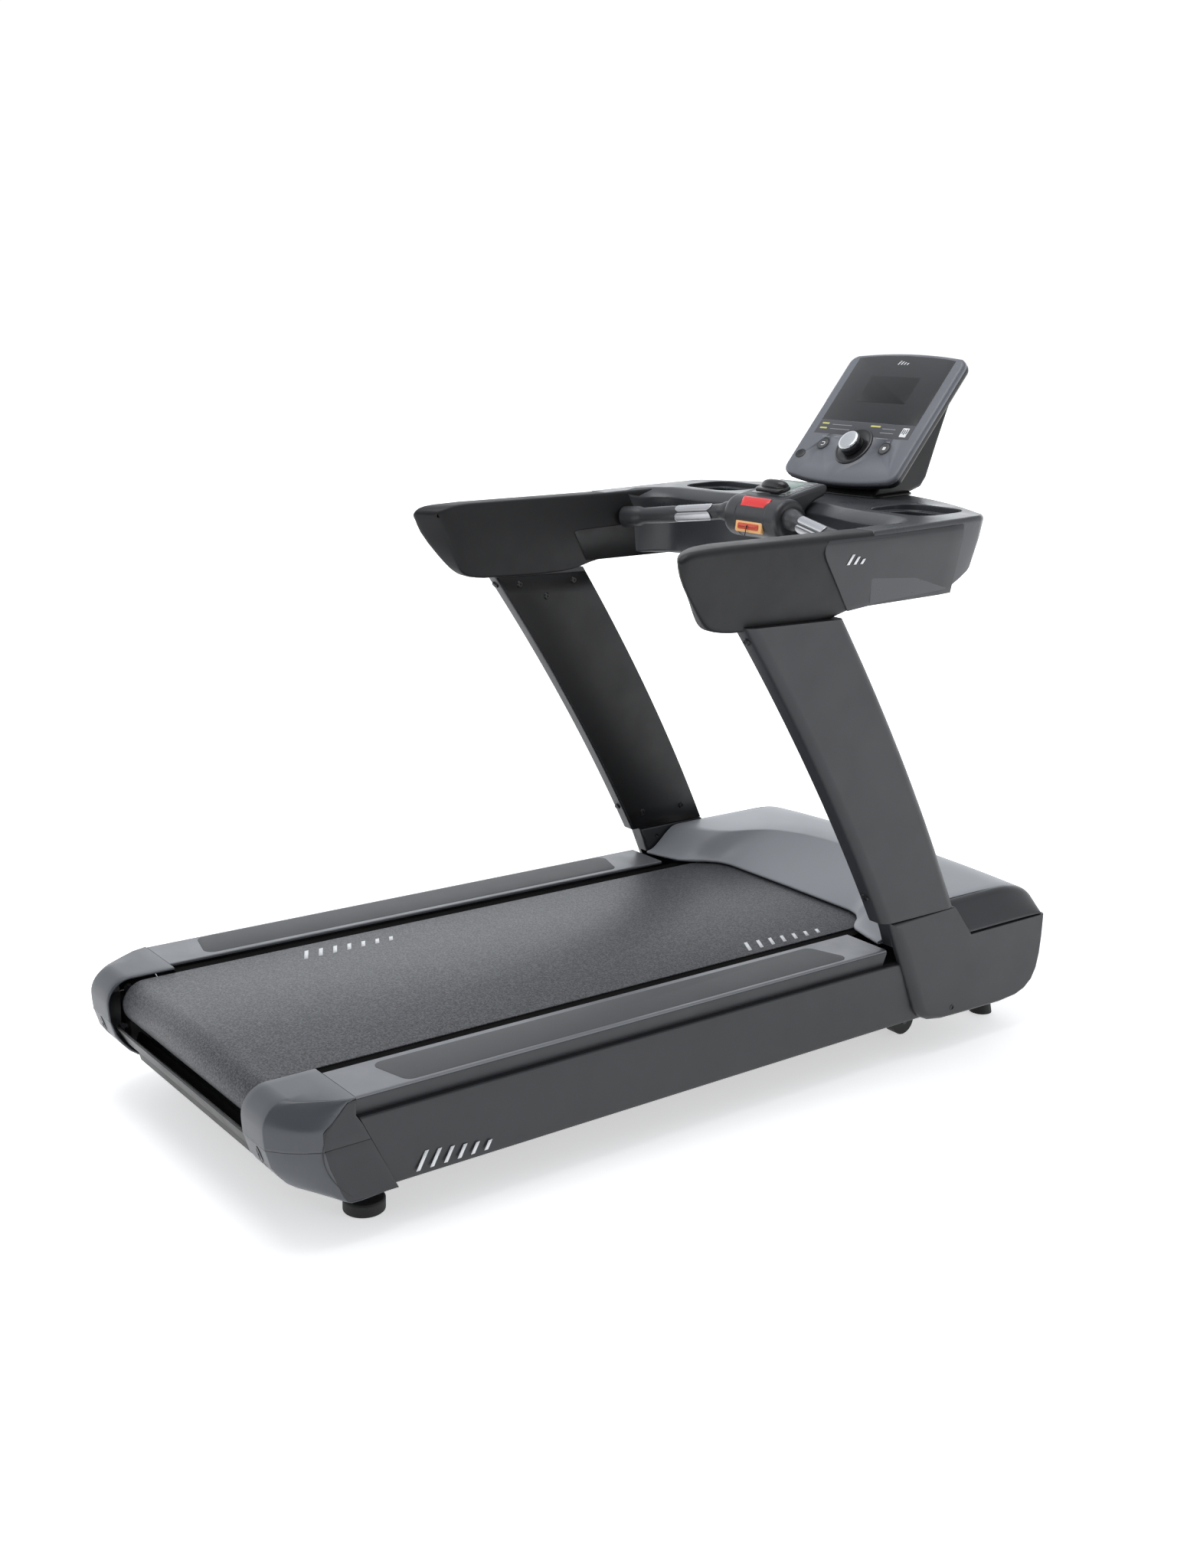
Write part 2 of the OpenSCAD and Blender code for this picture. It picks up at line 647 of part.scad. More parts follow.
// Region kept by the rubber-coated grip part of the arm
function grip_region(gap) = [
  [arm_tip - 20, arm_z - 20], [fr(1226) - gap, arm_z - 20], [fr(1226) - gap, arm_z + 24],
  [fr(1146) - gap, arm_top - 20], [fr(1150) - gap, arm_top - 6], [arm_seam_y - gap, arm_top + 4],
  [arm_seam_y - gap, tray_z + 20], [arm_tip - 20, tray_z + 20]
];
module arm() {
  wall = 6;
  color([0.22, 0.22, 0.23]) difference() {
    intersection() {
      across(post_in - 2, arm_out) polygon(arm_outline(0));
      across(0, rails_w) polygon(grip_region(0));
    }
    across(post_in - 2 + wall, arm_out - wall) polygon(arm_outline(wall));
    // the post enters from below
    across(core_in - 1, core_out + 1) polygon(post_outline(arm_z - 30, post_top + 1, core_inset - 1));
  }
}
module arm_right() { arm(); }
module arm_left() { mirror([1, 0, 0]) arm(); }
module arm_panel() {
  color([0.33, 0.34, 0.35]) across(arm_out - 6, arm_out) difference() {
    intersection() {
      polygon(arm_outline(0));
      translate([0, -14]) polygon(arm_outline(0));
    }
    polygon(grip_region(-seam));
  }
}
module arm_panel_right() { arm_panel(); }
module arm_panel_left() { mirror([1, 0, 0]) arm_panel(); }

tray_user_y = fr(1425);
tray_hub_y = fr(1466);
tray_nose_y = fr(1735);
cup_x = post_in - 98;
cup_y = fr(1545);
cup_w = 130;
cup_l = 118;
cup_depth = 78;
// Plan outline of the tray: straight along the arms, bowed at the front
function tray_plan(w) = concat(
  [[-arm_out + 7 + w, arm_seam_y + seam], [-arm_out + 7 + w, fr(1560)]],
  [for (i = [-6:6]) let (x = (arm_out - 34 - w) * i / 6)
    [x, tray_nose_y - w - 120 * pow(i / 6, 2) - 26 * pow(i / 6, 8)]],
  [[arm_out - 7 - w, fr(1560)], [arm_out - 7 - w, arm_seam_y + seam]],
  [[post_in - 2 + w, arm_seam_y + seam], [post_in - 2 + w, fr(1330)]],
  arc([post_in - 62, fr(1340)], 60 - w, 0, 60, 4),
  [[220, tray_user_y + w], [120, tray_hub_y + w], [-120, tray_hub_y + w], [-220, tray_user_y + w]],
  arc([-post_in + 62, fr(1340)], 60 - w, 120, 180, 4),
  [[-post_in + 2 - w, fr(1330)], [-post_in + 2 - w, arm_seam_y + seam]]
);
// (y, z) outline of the tray's body
function tray_top(d) = tray_z + 12 * (d - 1560) / 180;
function tray_side(w) = [
  [arm_seam_y - 2, arm_top + 2 - w], [arm_seam_y - 2, arm_z + 26 + w], [fr(1500), arm_z + 40 + w],
  [fr(1540) - w, arm_z + 60 + w], [fr(1740) - w, tray_z - 6 - w], [fr(1740) - w, tray_z + 12 - w],
  [fr(1560), tray_z - w]
];
module tray() {
  wall = 5;
  color([0.33, 0.35, 0.37]) difference() {
    intersection() {
      translate([0, 0, arm_z]) linear_extrude(arm_h + 60) tray_plan_shape(0);
      across(-arm_out, arm_out) polygon(tray_side(0));
    }
    intersection() {
      translate([0, 0, arm_z - 1]) linear_extrude(arm_h + 60) tray_plan_shape(wall);
      across(-arm_out, arm_out) polygon(tray_side(wall));
      cup_walls();
    }
    both_sides() cup_pocket(0);
  }
}
module tray_plan_shape(w) { polygon(tray_plan(w)); }
module cup_pocket(grow) {
  r = 26 + grow;
  translate([cup_x, cup_y, tray_z - cup_depth - grow]) linear_extrude(cup_depth + 60) polygon(concat(
    arc([cup_w / 2 - 26, cup_l / 2 - 26], r, 0, 90, 5),
    arc([-cup_w / 2 + 26, cup_l / 2 - 26], r, 90, 180, 5),
    arc([-cup_w / 2 + 26, -cup_l / 2 + 26], r, 180, 270, 5),
    arc([cup_w / 2 - 26, -cup_l / 2 + 26], r, 270, 360, 5)
  ));
}
// Everything except the cup holders and their walls
module cup_walls() {
  difference() {
    block(-arm_out, arm_out, arm_seam_y - 10, tray_nose_y + 10, arm_z, tray_z + 40);
    both_sides() cup_pocket(4);
  }
}

// ---------------------------------------------------------------- grip bar and pod
hub_y = fr(1408);
hub_z = arm_top + 2;
bar_y = fr(1320);
bar_z = arm_top - 49;
bar_rise = atan2(hub_z - bar_z, post_in);
bar_sweep = atan2(hub_y - bar_y, post_in);
bar_len = norm([post_in - 4, hub_y - bar_y, hub_z - bar_z]);
socket = hub_w / 2 - 34;
module along_bar() {
  translate([0, hub_y, hub_z]) rotate([0, 0, -bar_sweep]) rotate([0, 90 + bar_rise, 0]) children();
}
module grip_bar() {
  color([0.27, 0.28, 0.29]) union() {
    intersection() {
      both_sides() along_bar() translate([0, 0, socket + seam]) cylinder(h = bar_len - socket, d = bar_d);
      block(-post_in + 3, post_in - 3, fr(1200), fr(1500), arm_z, tray_z + 60);
    }
    intersection() {
      both_sides() along_bar() translate([0, 0, bar_len - 62]) cylinder(h = 62, d = bar_d + 7);
      block(-post_in + 3, post_in - 3, fr(1200), fr(1500), arm_z, tray_z + 60);
    }
  }
}
plate_l = 104;
module pulse_plates() {
  color("silver") both_sides() along_bar() translate([0, 0, 138]) difference() {
    intersection() {
      cylinder(h = plate_l, d = bar_d + 2.6);
      union() for (a = [35, 215]) rotate([0, 0, a]) translate([0, -8, 0]) cube([bar_d, 16, plate_l]);
    }
    translate([0, 0, -1]) cylinder(h = plate_l + 2, d = bar_d + 0.2);
  }
}
hub_half = hub_w / 2;
pod_half = 70;
face_y0 = fr(1390);
face_z0 = arm_top + 31;
face_y1 = fr(1513);
face_z1 = arm_top + 60;
rocker_y = 32;
face_gap = 0.02;  // between the pod's sloping top and its face plate
face_tilt = atan2(face_z1 - face_z0, face_y1 - face_y0);
hub_outline = concat(
  arc([hub_y - 14, hub_z - 36], 37, 180, 280, 6),
  [[hub_y + 40, hub_z - 70], [hub_y + 52, hub_z - 40]],
  arc([hub_y + 20, hub_z - 6], 34, 0, 90, 5),
  arc([hub_y - 8, hub_z - 4], 34, 90, 170, 5)
);
module pod() {
  color([0.24, 0.25, 0.26]) difference() {
    union() {
      across(-hub_half, hub_half) polygon(hub_outline);
      across(-pod_half, pod_half) polygon([
        [face_y0 + 14, face_z0 + 14 * tan(face_tilt)], [face_y1 - 4, face_z1 - 4 * tan(face_tilt)],
        [face_y1, face_z1 - 6], [face_y1, tray_z + 8], [face_y1 - 6, tray_z + 2], [hub_y + 54, tray_z + 1],
        [hub_y + 32, tray_z - 15], [hub_y + 10, hub_z - 34], [face_y0 + 14, hub_z - 34]
      ]);
    }
    both_sides() along_bar() translate([0, 0, socket]) cylinder(h = 90, d = bar_d + seam);
    // seats of the rocker, the stop button and the safety key
    face_frame() translate([0, rocker_y, -12]) cylinder(h = 30, r = 15);
    stop_frame() translate([-45, -17, -8]) cube([90, 34, 30]);
    key_frame() translate([-43, -13, -8]) cube([86, 26, 30]);
  }
}
// Frames on the pod: its sloping face, the stop button and the key
module face_frame() {
  translate([0, face_y0, face_z0]) rotate([face_tilt, 0, 0]) children();
}
module stop_frame() {
  translate([0, hub_y - 40, hub_z + 10]) rotate([68, 0, 0]) children();
}
module key_frame() {
  translate([0, hub_y - 50, hub_z - 34]) rotate([88, 0, 0]) children();
}
module pod_face() {
  color([0.40, 0.44, 0.43]) face_frame() difference() {
    translate([-pod_half + 8, 10, face_gap]) cube([2 * pod_half - 16, 108, 1.6]);
    translate([0, rocker_y, -1]) cylinder(h = 4, r = 15 + clear);
  }
}
module pod_rocker() {
  color([0.09, 0.09, 0.1]) face_frame() {
    // barrel on the tilt axis and the neck above it
    translate([-9, rocker_y, 0]) rotate([0, 90, 0]) cylinder(h = 18, r = 9);
    translate([0, rocker_y, 4]) cylinder(h = 10, r = 8);
    hull() {
      translate([-24, rocker_y, 16]) scale([1.2, 1, 0.6]) sphere(r = 13, $fn = 32);
      translate([24, rocker_y, 16]) scale([1.2, 1, 0.6]) sphere(r = 13, $fn = 32);
      translate([0, rocker_y + 8, 17]) scale([1.4, 1, 0.7]) sphere(r = 11, $fn = 32);
    }
  }
}
module stop_button() {
  color("red") stop_frame() translate([-44, -16, -5]) cube([88, 32, 10]);
}
module safety_key() {
  color("orange") key_frame() translate([-42, -12, -7]) cube([84, 24, 12]);
  color("red") key_frame() translate([-30, -6, 5]) cube([60, 12, 4]);
  color("black") key_frame() translate([-3, -5.5, 7]) rotate([90, 0, 0]) cylinder(h = 16, r = 1.2);
}

// ---------------------------------------------------------------- console
// Console frame: X across, Y up the face, Z out of the face towards the user
module console_frame() {
  translate([0, fr(1696), arm_top + 183]) rotate([console_tilt, 0, 0]) children();
}
console_low = -(console_h - 197);
console_high = 197;
half_w = console_w / 2;
// Face outline with bowed top and bottom edges
function console_outline(w) = concat(
  [for (i = [-6:6]) let (x = (half_w - 20) * i / 6) [x, console_low + w + 16 * pow(i / 6, 2)]],
  arc([half_w - 22, console_low + 40], 22 - w, -60, 0, 4),
  arc([half_w - 22, console_high - 32], 22 - w, 0, 70, 4),
  [for (i = [6:-1:-6]) let (x = (half_w - 16) * i / 6) [x, console_high - w - 10 * pow(i / 6, 2)]],
  arc([-half_w + 22, console_high - 32], 22 - w, 110, 180, 4),
  arc([-half_w + 22, console_low + 40], 22 - w, 180, 240, 4)
);
dial_y = -66;
key_x = 95;
key_y = -66;
front_t = 12;
module console_front() {
  color([0.43, 0.44, 0.45]) console_frame() difference() {
    translate([0, 0, -front_t]) linear_extrude(front_t) polygon(console_outline(0));
    translate([0, 0, -front_t - 1]) linear_extrude(front_t - 4 + 1) polygon(console_outline(5));
    translate([-glass_w / 2 - seam, -seam, -2.4]) cube([glass_w + 2 * seam, glass_h + 2 * seam, 3]);
    translate([0, dial_y, -front_t - 1]) cylinder(h = front_t + 2, d = 18);
    for (x = [-key_x, key_x])
      translate([x, key_y, -front_t - 1]) cylinder(h = front_t + 2, d = key_d + 2 * clear);
  }
}
module console_back() {
  depth = console_t - front_t;
  color([0.15, 0.15, 0.16]) console_frame() difference() {
    translate([0, 0, -console_t]) linear_extrude(depth - seam) polygon(console_outline(0));
    translate([0, 0, -console_t + 4]) linear_extrude(depth) polygon(console_outline(5));
  }
}
module glass() {
  color([0.20, 0.20, 0.21]) console_frame()
    translate([-glass_w / 2, 0, -2.2]) cube([glass_w, glass_h, 2.2]);
}
module dial() {
  color("silver") console_frame() translate([0, dial_y, 0]) {
    translate([0, 0, -front_t - 4]) cylinder(h = front_t + 6, d = 18 - 2 * fit);
    translate([0, 0, 1]) cylinder(h = 16, d = dial_d);
    translate([0, 0, 17]) cylinder(h = 7, d1 = dial_d - 6, d2 = dial_d - 12);
  }
}
module round_key() {
  translate([0, 0, -front_t + 1]) cylinder(h = front_t + 1, d = key_d);
}
module return_key() {
  color([0.25, 0.26, 0.27]) console_frame() translate([-key_x, key_y, 0]) round_key();
}
module stop_key() {
  color([0.25, 0.26, 0.27]) console_frame() translate([key_x, key_y, 0]) round_key();
}
// Wedge-shaped mast that carries the console on the tray
mast_half = 110;
module mast() {
  color([0.18, 0.18, 0.19]) difference() {
    across(-mast_half, mast_half) polygon([
      [fr(1610), tray_top(1610) + seam], [fr(1728), tray_top(1728) + seam], [fr(1782), tray_z + 34],
      [fr(1850), arm_top + 232], [fr(1822), arm_top + 272], [fr(1700), arm_top + 132]
    ]);
    // seat against the back of the console
    console_frame() translate([-console_w, -console_h, -console_t - seam])
      cube([2 * console_w, 3 * console_h, 200]);
    across(-mast_half + 5, mast_half - 5) polygon([
      [fr(1640), tray_top(1640) + 5], [fr(1724), tray_top(1728) + 5], [fr(1776), tray_z + 38],
      [fr(1842), arm_top + 228], [fr(1822), arm_top + 262], [fr(1700), arm_top + 122]
    ]);
  }
}

frame();
deck();
deck_cushions();
running_belt();
drive_roller();
drive_axle();
rear_roller();
rear_axle();
tension_bolts();
motor();
motor_rotor();
drive_belt();
controller();
power_inlet();
lift_frame();
lift_wheels();
lift_motor();
lift_rod();
front_feet();
rear_foot_left();
rear_foot_right();
rail_left();
rail_right();
grip_pads();
side_panel_left();
side_panel_right();
cap_left();
cap_right();
cap_base_left();
cap_base_right();
rear_panel();
boot_left();
boot_right();
hood();
hood_scoop();
front_panel();
post_left();
post_right();
post_cover_left();
post_cover_right();
post_bolts();
arm_left();
arm_right();
arm_panel_left();
arm_panel_right();
tray();
grip_bar();
pulse_plates();
pod();
pod_face();
pod_rocker();
stop_button();
safety_key();
console_front();
console_back();
glass();
dial();
return_key();
stop_key();
mast();
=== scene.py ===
"""Looks of the treadmill: every visible shell, pad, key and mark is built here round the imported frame.

Helper lengths are millimetres: x across, d forward from the rear end, z above the floor."""
from math import atan2, cos, pi, radians, sin

import bmesh
import bpy
from mathutils import Matrix, Vector


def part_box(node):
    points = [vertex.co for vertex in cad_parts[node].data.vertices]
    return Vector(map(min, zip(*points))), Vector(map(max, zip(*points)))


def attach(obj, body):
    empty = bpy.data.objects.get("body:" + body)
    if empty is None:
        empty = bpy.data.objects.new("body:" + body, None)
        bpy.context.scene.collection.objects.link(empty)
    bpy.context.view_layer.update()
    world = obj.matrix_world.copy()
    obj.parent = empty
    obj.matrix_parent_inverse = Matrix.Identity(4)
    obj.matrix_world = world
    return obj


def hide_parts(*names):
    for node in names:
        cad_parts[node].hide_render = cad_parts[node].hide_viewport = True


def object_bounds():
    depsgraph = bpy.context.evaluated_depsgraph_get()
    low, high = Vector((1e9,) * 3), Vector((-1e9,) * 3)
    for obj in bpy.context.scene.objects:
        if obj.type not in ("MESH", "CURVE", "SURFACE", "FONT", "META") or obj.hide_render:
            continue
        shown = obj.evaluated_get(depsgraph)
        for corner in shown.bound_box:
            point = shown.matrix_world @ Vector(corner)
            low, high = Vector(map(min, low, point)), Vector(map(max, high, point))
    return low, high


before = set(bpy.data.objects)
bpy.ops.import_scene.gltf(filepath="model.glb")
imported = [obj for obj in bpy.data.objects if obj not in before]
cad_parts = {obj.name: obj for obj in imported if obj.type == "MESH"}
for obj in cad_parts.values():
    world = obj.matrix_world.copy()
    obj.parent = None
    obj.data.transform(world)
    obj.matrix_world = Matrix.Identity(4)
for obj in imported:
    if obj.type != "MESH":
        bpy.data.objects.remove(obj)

CAD_LO, CAD_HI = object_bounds()
REAR = CAD_LO.y * 1000
LENGTH = (CAD_HI.y - CAD_LO.y) * 1000


def top_of(node):
    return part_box(node)[1].z * 1000


RAIL_Z = top_of("rail_right")
RAIL_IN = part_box("rail_right")[0].x * 1000
RAIL_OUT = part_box("rail_right")[1].x * 1000
BELT_Z = top_of("running_belt")
BELT_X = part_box("running_belt")[1].x * 1000
POST_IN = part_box("post_cover_right")[0].x * 1000
POST_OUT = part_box("post_right")[1].x * 1000
ARM_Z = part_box("arm_right")[0].z * 1000
ARM_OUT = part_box("arm_right")[1].x * 1000
BOOT_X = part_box("boot_right")[1].x * 1000
HOOD_Z = top_of("hood")
BOOT_TOP = top_of("boot_right")


# ---------------- materials
def nodes_of(mat):
    tree = mat.node_tree
    return tree.nodes, tree.links, tree.nodes["Principled BSDF"]


def noise(n, links, co, scale, detail=3.0, rough=0.5):
    t = n.new("ShaderNodeTexNoise")
    t.inputs["Scale"].default_value = scale
    t.inputs["Detail"].default_value = detail
    t.inputs["Roughness"].default_value = rough
    links.new(co, t.inputs["Vector"])
    return t.outputs["Fac"]


def ramp(n, links, fac, stops):
    r = n.new("ShaderNodeValToRGB")
    r.color_ramp.elements[0].position, r.color_ramp.elements[0].color = stops[0]
    r.color_ramp.elements[1].position, r.color_ramp.elements[1].color = stops[-1]
    for pos, col in stops[1:-1]:
        e = r.color_ramp.elements.new(pos)
        e.color = col
    links.new(fac, r.inputs["Fac"])
    return r.outputs["Color"]


def map_range(n, links, value, span, result):
    """A Map Range node from span to result."""
    m = n.new("ShaderNodeMapRange")
    m.inputs["From Min"].default_value, m.inputs["From Max"].default_value = span
    m.inputs["To Min"].default_value, m.inputs["To Max"].default_value = result
    links.new(value, m.inputs["Value"])
    return m.outputs["Result"]


def grey(col, k):
    return (min(1, col[0] * k), min(1, col[1] * k), min(1, col[2] * k), 1)


def moulded(name, col, rough=0.4, grain=1500, bump=0.06, vary=0.10, metal=0.0, coat=0.0, spec=0.5,
            streak=None, speck=None, depth=0.0002, mottle=1.0):
    """A surface with fine grain, soft colour variation, and handling marks in its roughness."""
    mat = bpy.data.materials.new(name)
    mat.use_nodes = True
    n, links, bsdf = nodes_of(mat)
    tc = n.new("ShaderNodeTexCoord")
    co = tc.outputs["Object"]
    if streak:
        mp = n.new("ShaderNodeMapping")
        mp.inputs["Scale"].default_value = streak
        links.new(co, mp.inputs["Vector"])
        co_fine = mp.outputs["Vector"]
    else:
        co_fine = co
    broad = noise(n, links, co, 6.0, 4.0)
    stops = [(0.25, grey(col, 1 - vary)), (0.5, grey(col, 1)), (0.8, grey(col, 1 + vary))]
    colour = ramp(n, links, broad, stops)
    if speck:
        fine = noise(n, links, co, speck[0], 2.0, 0.7)
        dots = ramp(n, links, fine, [(0.42, (1 - speck[1],) * 3 + (1,)), (0.62, (1 + speck[1],) * 3 + (1,))])
        mix = n.new("ShaderNodeMix")
        mix.data_type, mix.blend_type = "RGBA", "MULTIPLY"
        mix.inputs["Factor"].default_value = 1.0
        links.new(colour, mix.inputs[6])
        links.new(dots, mix.inputs[7])
        colour = mix.outputs[2]
    links.new(colour, bsdf.inputs["Base Color"])
    smudge = noise(n, links, co, 14.0, 5.0, 0.6)
    worn = map_range(n, links, smudge, (0.3, 0.7), (rough - 0.05 * mottle, rough + 0.06 * mottle))
    links.new(worn, bsdf.inputs["Roughness"])
    bsdf.inputs["Metallic"].default_value = metal
    bsdf.inputs["Specular IOR Level"].default_value = spec
    bsdf.inputs["Coat Weight"].default_value = coat
    bsdf.inputs["Coat Roughness"].default_value = 0.18
    fine = noise(n, links, co_fine, grain, 2.0, 0.6)
    b = n.new("ShaderNodeBump")
    b.inputs["Strength"].default_value = bump
    b.inputs["Distance"].default_value = depth
    links.new(fine, b.inputs["Height"])
    links.new(b.outputs["Normal"], bsdf.inputs["Normal"])
    return mat


M = {
    "graphite": moulded("graphite_shell", (0.024, 0.025, 0.029), 0.38, 1600, 0.10, spec=0.45),
    "post": moulded("post_paint", (0.024, 0.025, 0.029), 0.40, 1100, 0.08, 0.06, spec=0.45),
    "charcoal": moulded("charcoal_shell", (0.0055, 0.0056, 0.0062), 0.45, 1600, 0.10, spec=0.35),
    # cap colour: the graphite plastic lightened, a painted reflection of bright surroundings on the caps'
    # top, rear and nose
    "cap": moulded("cap_shell", (0.070, 0.076, 0.087), 0.34, 1600, 0.08, mottle=0.6),
    # hood colour: the graphite plastic made pale, a painted reflection of the bright light its top mirrors
    "hood": moulded("hood_shell", (0.33, 0.345, 0.372), 0.42, 1600, 0.04, 0.02, mottle=0.4),
    "rail": moulded("rail_aluminium", (0.165, 0.170, 0.184), 0.36, 900, 0.10, 0.04, metal=0.3,
                    streak=(1, 0.02, 1)),
    "pad": moulded("grip_texture", (0.062, 0.064, 0.069), 0.60, 900, 0.7, 0.04, speck=(1200, 0.35),
                   mottle=0.3),
    "belt": moulded("belt_surface", (0.084, 0.086, 0.094), 0.50, 420, 0.9, 0.03, speck=(300, 0.5),
                    depth=0.0006, mottle=0.2),
    "grip": moulded("soft_grip", (0.0085, 0.0088, 0.0098), 0.50, 1300, 0.12, 0.08, spec=0.35),
    "tray": moulded("tray_shell", (0.042, 0.044, 0.050), 0.30, 1600, 0.07),
    "bar": moulded("bar_rubber", (0.034, 0.035, 0.039), 0.38, 1300, 0.15),
    "black": moulded("black_plastic", (0.008, 0.008, 0.008), 0.42, 1400, 0.12),
    "gloss_black": moulded("gloss_black", (0.010, 0.010, 0.011), 0.16, 1400, 0.03),
    "rubber": moulded("black_rubber", (0.008, 0.008, 0.008), 0.60, 500, 0.3),
    "steel": moulded("steel", (0.62, 0.63, 0.65), 0.28, 700, 0.12, 0.05, metal=1.0, streak=(0.05, 1, 1)),
    "bolt": moulded("bolt_black", (0.020, 0.020, 0.021), 0.35, 900, 0.1, metal=0.6),
    "frame": moulded("frame_paint", (0.035, 0.035, 0.037), 0.38, 500, 0.15, coat=0.2),
    "board": moulded("deck_board", (0.004, 0.004, 0.004), 0.85, 300, 0.2, spec=0.05),
    "red": moulded("red_plastic", (0.76, 0.035, 0.035), 0.26, 900, 0.05, 0.05),
    "orange": moulded("key_frame", (0.90, 0.50, 0.20), 0.32, 900, 0.05, 0.06),
    "key_red": moulded("key_red", (0.62, 0.075, 0.035), 0.32, 900, 0.05, 0.06),
    "face": moulded("console_face", (0.135, 0.142, 0.165), 0.38, 1600, 0.08, 0.04),
    "glass": moulded("display_glass", (0.012, 0.012, 0.014), 0.14, 900, 0.02, 0.04, coat=0.3),
    "legend": moulded("legend_band", (0.050, 0.052, 0.060), 0.30, 900, 0.03, 0.04),
    "knob": moulded("knob_top", (0.66, 0.68, 0.70), 0.24, 900, 0.15, 0.04, metal=1.0),
    "dish": moulded("knob_dish", (0.020, 0.020, 0.022), 0.20, 900, 0.04),
    "label": moulded("label_face", (0.150, 0.172, 0.168), 0.30, 900, 0.03, 0.04),
    "tile": moulded("label_tile", (0.060, 0.064, 0.066), 0.30, 900, 0.03, 0.04),
    "plate": moulded("pulse_steel", (0.50, 0.50, 0.52), 0.30, 900, 0.06, 0.05, metal=1.0,
                     streak=(0.05, 1, 1)),
    "print": moulded("pale_print", (0.78, 0.79, 0.81), 0.45, 900, 0.05, 0.04),
    "tile_line": moulded("tile_line", (0.34, 0.35, 0.37), 0.4, 900, 0.03, 0.04),
    "window": moulded("display_window", (0.008, 0.008, 0.009), 0.12, 900, 0.02, 0.04),
    "lcd": moulded("lcd_glass", (0.130, 0.215, 0.180), 0.22, 900, 0.02, 0.05),
    "keyface": moulded("key_face", (0.050, 0.052, 0.056), 0.35, 900, 0.06, 0.05),
    "gloss_soft": moulded("rocker_plastic", (0.014, 0.014, 0.015), 0.30, 1400, 0.08),
    "yellow": moulded("yellow_print", (0.60, 0.56, 0.16), 0.45, 900, 0.05, 0.04),
}

# ---------------- mesh helpers
scene = bpy.context.scene


def metres(p):
    return (p[0] / 1000, (p[1] + REAR) / 1000, p[2] / 1000)


def mesh_object(name, verts, faces, weld=True):
    """An object in the scene from helper millimetres, its normals pointing out."""
    me = bpy.data.meshes.new(name)
    me.from_pydata([metres(v) for v in verts], [], faces)
    bm = bmesh.new()
    bm.from_mesh(me)
    if weld:
        bmesh.ops.remove_doubles(bm, verts=bm.verts, dist=2e-6)
        bmesh.ops.dissolve_degenerate(bm, edges=bm.edges, dist=1e-6)
    bmesh.ops.recalc_face_normals(bm, faces=bm.faces)
    bm.to_mesh(me)
    bm.free()
    o = bpy.data.objects.new(name, me)
    scene.collection.objects.link(o)
    return o


def piece(name, verts, faces, mat, body="base", rep=(), slot=None, bevel=0.0, seg=3, angle=28, solid=0.0):
    """A visible piece that rides on a body and stands for the CAD nodes in rep."""
    o = mesh_object(name, verts, faces)
    o.data.materials.append(M[mat])
    for poly in o.data.polygons:
        poly.use_smooth = True
    if solid:
        s = o.modifiers.new("wall", "SOLIDIFY")
        s.thickness, s.offset = solid / 1000, -1
    if bevel:
        b = o.modifiers.new("bevel", "BEVEL")
        b.width, b.segments = bevel / 1000, seg
        b.limit_method, b.angle_limit = "ANGLE", radians(angle)
        b.harden_normals = True
        b.use_clamp_overlap = True
    if bevel or solid:
        w = o.modifiers.new("normals", "WEIGHTED_NORMAL")
        w.keep_sharp = True
    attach(o, body)
    if rep:
        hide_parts(*rep)
    return o


def loft(sections, ring=False):
    """Faces between closed sections that have the same number of points, capped unless it is a ring."""
    n = len(sections[0])
    verts = [p for section in sections for p in section]
    faces = []
    for i in range(len(sections) if ring else len(sections) - 1):
        a, b = i * n, ((i + 1) % len(sections)) * n
        faces += [(a + j, a + (j + 1) % n, b + (j + 1) % n, b + j) for j in range(n)]
    if not ring:
        faces += [tuple(range(n)), tuple(range(len(verts) - n, len(verts)))]
    return verts, faces


def grid(rows):
    n = len(rows[0])
    verts = [p for r in rows for p in r]
    faces = [
        (i * n + j, i * n + j + 1, (i + 1) * n + j + 1, (i + 1) * n + j)
        for i in range(len(rows) - 1) for j in range(n - 1)
    ]
    return verts, faces


def join(*parts):
    verts, faces = [], []
    for v, f in parts:
        k = len(verts)
        verts += v
        faces += [tuple(i + k for i in face) for face in f]
    return verts, faces


def mirrored(vf):
    return [(-x, d, z) for x, d, z in vf[0]], vf[1]


def inset(poly, w):
    """Moves each edge of a closed 2-D outline inward; w is one width or one for each point."""
    n = len(poly)
    area = sum(poly[i][0] * poly[(i + 1) % n][1] - poly[(i + 1) % n][0] * poly[i][1] for i in range(n))
    sign = 1 if area > 0 else -1
    out = []
    for i in range(n):
        wi = w[i] if isinstance(w, (list, tuple)) else w
        p, a, b = Vector(poly[i]), Vector(poly[i - 1]), Vector(poly[(i + 1) % n])
        e1, e2 = (p - a), (b - p)
        e1 = e1.normalized() if e1.length > 1e-9 else Vector((1, 0))
        e2 = e2.normalized() if e2.length > 1e-9 else e1
        n1, n2 = Vector((-e1.y, e1.x)) * sign, Vector((-e2.y, e2.x)) * sign
        m = n1 + n2
        m = m.normalized() if m.length > 1e-6 else n1
        k = max(0.45, m.dot(n1))
        out.append(tuple(p + m * (wi / k)))
    return out


def arc(cx, cy, r, a0, a1, n=6):
    return [
        (cx + r * cos(radians(a0 + (a1 - a0) * i / n)), cy + r * sin(radians(a0 + (a1 - a0) * i / n)))
        for i in range(n + 1)
    ]


def quarter(steps):
    """Angles of a quarter turn, both ends included."""
    return [radians(90 * k / steps) for k in range(steps + 1)]


